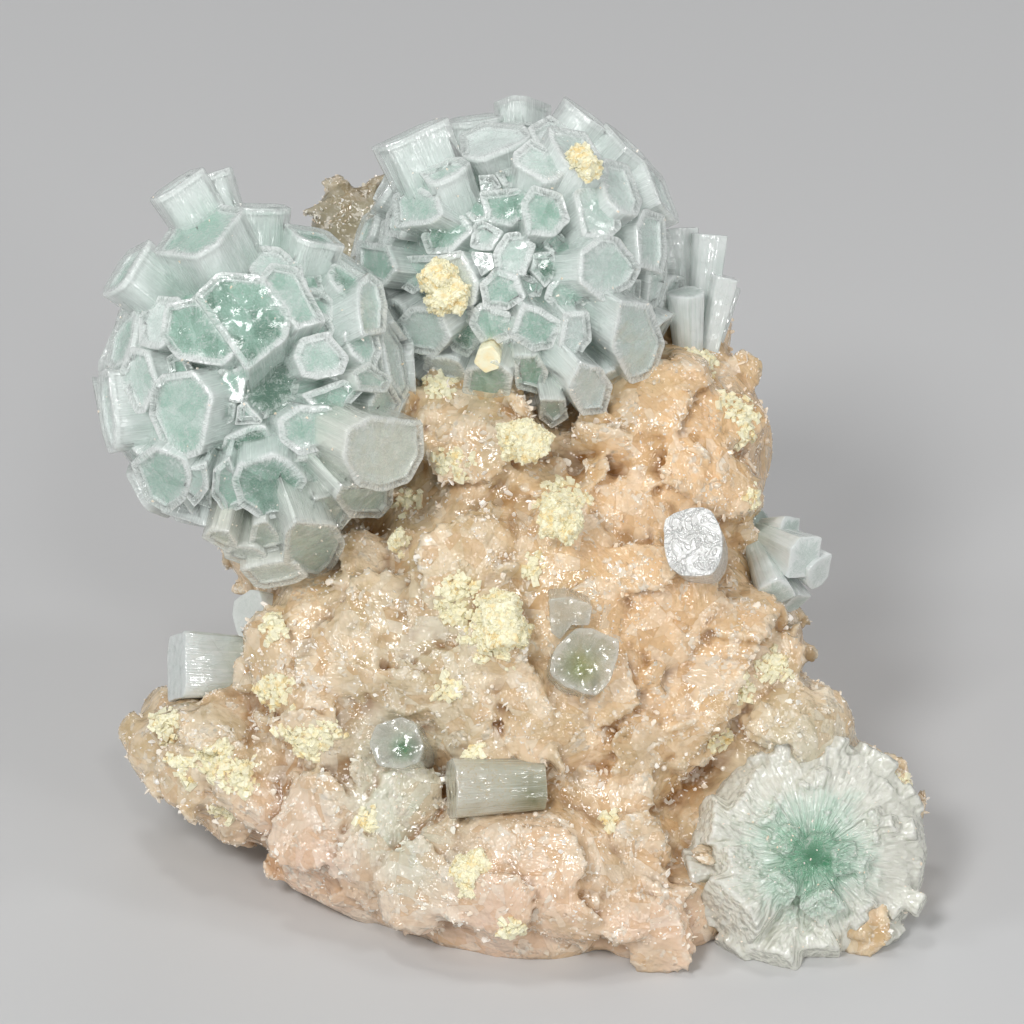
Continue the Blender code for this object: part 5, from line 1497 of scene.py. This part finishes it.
litMiddle = (0.0, 0.0, 0.045)  # what every lamp points at


def makeStage():
    bm = bmesh.new()
    bmesh.ops.create_grid(bm, x_segments=1, y_segments=1, size=3.0)
    floor = linked("floor", meshOf(bm, "floor"))
    coat(floor, Paint("palePaper").finish({"Base Color": (0.62, 0.62, 0.62, 1.0), "Roughness": 0.9}))
    for title, spot, size, power in (
        ("key", (-0.42, -0.80, 0.95), 0.28, 6.5),
        ("fill", (0.9, -0.6, 0.6), 0.9, 1.8),
        ("top", (-0.2, 0.1, 1.2), 0.18, 1.5),
        ("topLeft", (-0.8, -0.1, 0.8), 0.15, 1.0),
        ("topRight", (0.7, 0.0, 1.0), 0.15, 1.0),
        ("glint", (0.12, -0.85, 0.75), 0.13, 1.3),
        ("glintRight", (0.62, -0.75, 0.35), 0.15, 1.1),
        ("glintLeft", (-0.85, -0.55, 0.25), 0.15, 1.1),
        ("low", (0.0, -1.0, 0.12), 0.16, 0.7),
        ("back", (0.3, 0.9, 0.9), 0.8, 2.2),
    ):
        light = bpy.data.lights.new(title, "AREA")
        light.size = size
        light.energy = power
        lamp = linked(title, light)
        lamp.matrix_world = Matrix.Translation(spot) @ axisFrame(Vector(spot) - Vector(litMiddle), 0)
    world = bpy.data.worlds.new("studio")
    bpy.context.scene.world = world
    world.use_nodes = True
    world.node_tree.nodes["Background"].inputs[0].default_value = (0.95, 0.97, 1.0, 1.0)
    world.node_tree.nodes["Background"].inputs[1].default_value = 0.15
    lens = bpy.data.cameras.new("camera")
    lens.sensor_width = 36.0
    lens.lens = 36.0 * eye[2] / frameWidth
    lens.clip_start = 0.05
    camera = linked("camera", lens)
    spot = faceToWorld @ Vector(eye)
    camera.matrix_world = Matrix.Translation(spot) @ Matrix.Rotation(math.pi / 2 - faceLean, 4, "X")
    bpy.context.scene.camera = camera
    bpy.context.scene.view_settings.view_transform = "Standard"


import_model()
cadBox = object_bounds()
print("frame loaded")
makeStage()
crystal = crystalPaint("shellApophyllite", scatter=0.0, shell=0.18)
heartGreen = crystalPaint("heartApophyllite", rimHighlight=0.6, scatter=0.0, rule=heartFinish)
fanGreen = fanPaint("fanApophyllite", faceToWorld @ seenAt(*fanRule["heart"]))
white = crystalPaint("whiteApophyllite", 0.35, scatter=0.2)
singlePaints = {
    "creamGrain": creamPaint("creamGrain", 0.1),
    "blockClear": crystalPaint("pearlyApophyllite", 1.0, 0.1, relief=0.8, waves=1.0, scatter=0.1),
    "greenPair": crystalPaint("cloudyApophyllite", 0.35, 0.3, rimHighlight=0.9, grey=0.4, relief=1.0, alpha=0.6,
                              spot=(faceToWorld @ seenAt(8.6, 39.2, 5.8), 3.4 * mm, srgb(140, 168, 104))),
    "prismLow": crystalPaint("greyApophyllite", 0.3, 0.1, rimHighlight=0.4, grey=0.85, relief=1.0, alpha=0.9,
                             spot=(faceToWorld @ seenAt(2.5, 23.0, 1.0), 4.0 * mm, srgb(138, 140, 108))),
    "prismGreenEye": crystalPaint("eyeApophyllite", 0.6, 0.4, rimHighlight=0.3, grey=0.3, relief=1.0, alpha=0.6,
                                  spot=(faceToWorld @ seenAt(-13.4, 28.9, 1.2), 2.6 * mm,
                                        srgb(60, 156, 108))),
}
stone = stilbitePaint("peachStilbite")
tips = tipPaint("stilbiteTips")
sparkle = sparklePaint("bladeGlints")
cream = creamPaint("creamSugar")

leftGrown = growBall("leftBall", leftBall, crystal)
place(leftGrown, "apophyllite_green", "apophyllite_ball_left")
topGrown = growBall("topBall", topBall, crystal)
place(topGrown, "apophyllite_green", "apophyllite_ball_top")
# Light reaches the hearts through their shells unweakened.
for shell in (leftGrown, topGrown):
    place(heartOf(shell, 0.9, heartGreen), "apophyllite_green")
    shell.visible_shadow = False
fanGrown = growGroup("fan", fanRule, fanGreen, 13.0, 0.36)
place(fanGrown, "apophyllite_green", "apophyllite_fan")
place(growGroup("spray", sprayRule, white, 12.0), "apophyllite_clear", "apophyllite_spray")
place(growGroup("columns", columnRule, white, 30.0), "apophyllite_clear", "apophyllite_columns")
for name, (node, seed, rows, faces) in singles.items():
    grown = growSingle(name, rows, faces, seed, singlePaints.get(name, white))
    place(grown, nodeSlots.get(node, "apophyllite_clear"), node)
print("crystals grown")

heap = growHeap()
coat(heap, stone)
hollow, proud = reliefOf(heap)
markPatches(heap.data)
place(heap, "stilbite", "stilbite_matrix")
print("heap grown", len(heap.data.polygons), "faces")

clearOfGround = 3.5 * mm  # nothing small is scattered below this height
surface = BVHTree.FromObject(heap, bpy.context.evaluated_depsgraph_get())
tree = scatterTree("scatterShapes")
above = (coordinates(heap.data)[:, 2] > clearOfGround).astype(float)
tufts = tuftsOf(heap.data)
smallBlades = shapeCollection("smallBlades", [smallBladeMaker(seed) for seed in range(6)])
stand = above * (0.02 + tufts * (0.3 + proud * 1.5))
splinters = scatterOver(tree, heap, stand, "bladeTips", tips, smallBlades,
                        many=1.1e6, smallest=0.35, largest=1.4, tumble=0.8, seed=3)
markPatches(splinters.data)
place(splinters, "stilbite")
grains = shapeCollection("grains", [grainMaker(length, i) for i, length in enumerate((0.8, 1.2, 1.6))])
stand = above * (0.03 + tufts * 0.5 + proud * 0.8)
glints = scatterOver(tree, heap, stand, "glints", sparkle, grains,
                     many=3.4e6, smallest=0.07, largest=0.27, tumble=1.5, seed=7)
place(glints, "stilbite")
beads = shapeCollection("beads", [makeBead])
droplets = scatterOver(tree, heap, above * (0.3 + hollow), "clearBeads", tips, beads,
                       many=1.1e4, smallest=0.3, largest=0.9, tumble=1.0, seed=11)
place(droplets, "apophyllite_clear")
sugar = scatterOver(tree, heap, creamStand(heap.data, surface), "creamSugar", cream, grains,
                    many=5.0e6, smallest=0.3, largest=0.95, tumble=1.4, seed=19)
place(sugar, "cream_druse")
for piece, share in ((leftGrown, 0.08), (topGrown, 0.08), (fanGrown, 0.6)):
    stand = (coordinates(piece.data)[:, 2] > 1.0 * mm) * share
    specks = scatterOver(tree, piece, stand, piece.name + "Glints", sparkle, grains,
                         many=2.6e5, smallest=0.08, largest=0.26, tumble=1.5, seed=23)
    place(specks, "apophyllite_green")
for piece in (splinters, glints, droplets, sugar):
    print(piece.name, len(piece.data.polygons), "faces")
print("heap dressed")
for name, (middle, radius, flat, seed, node) in druses.items():
    place(growDruse(name, tree, grains, middle, radius, flat, seed, cream), "cream_druse", node)
print("crusts grown")
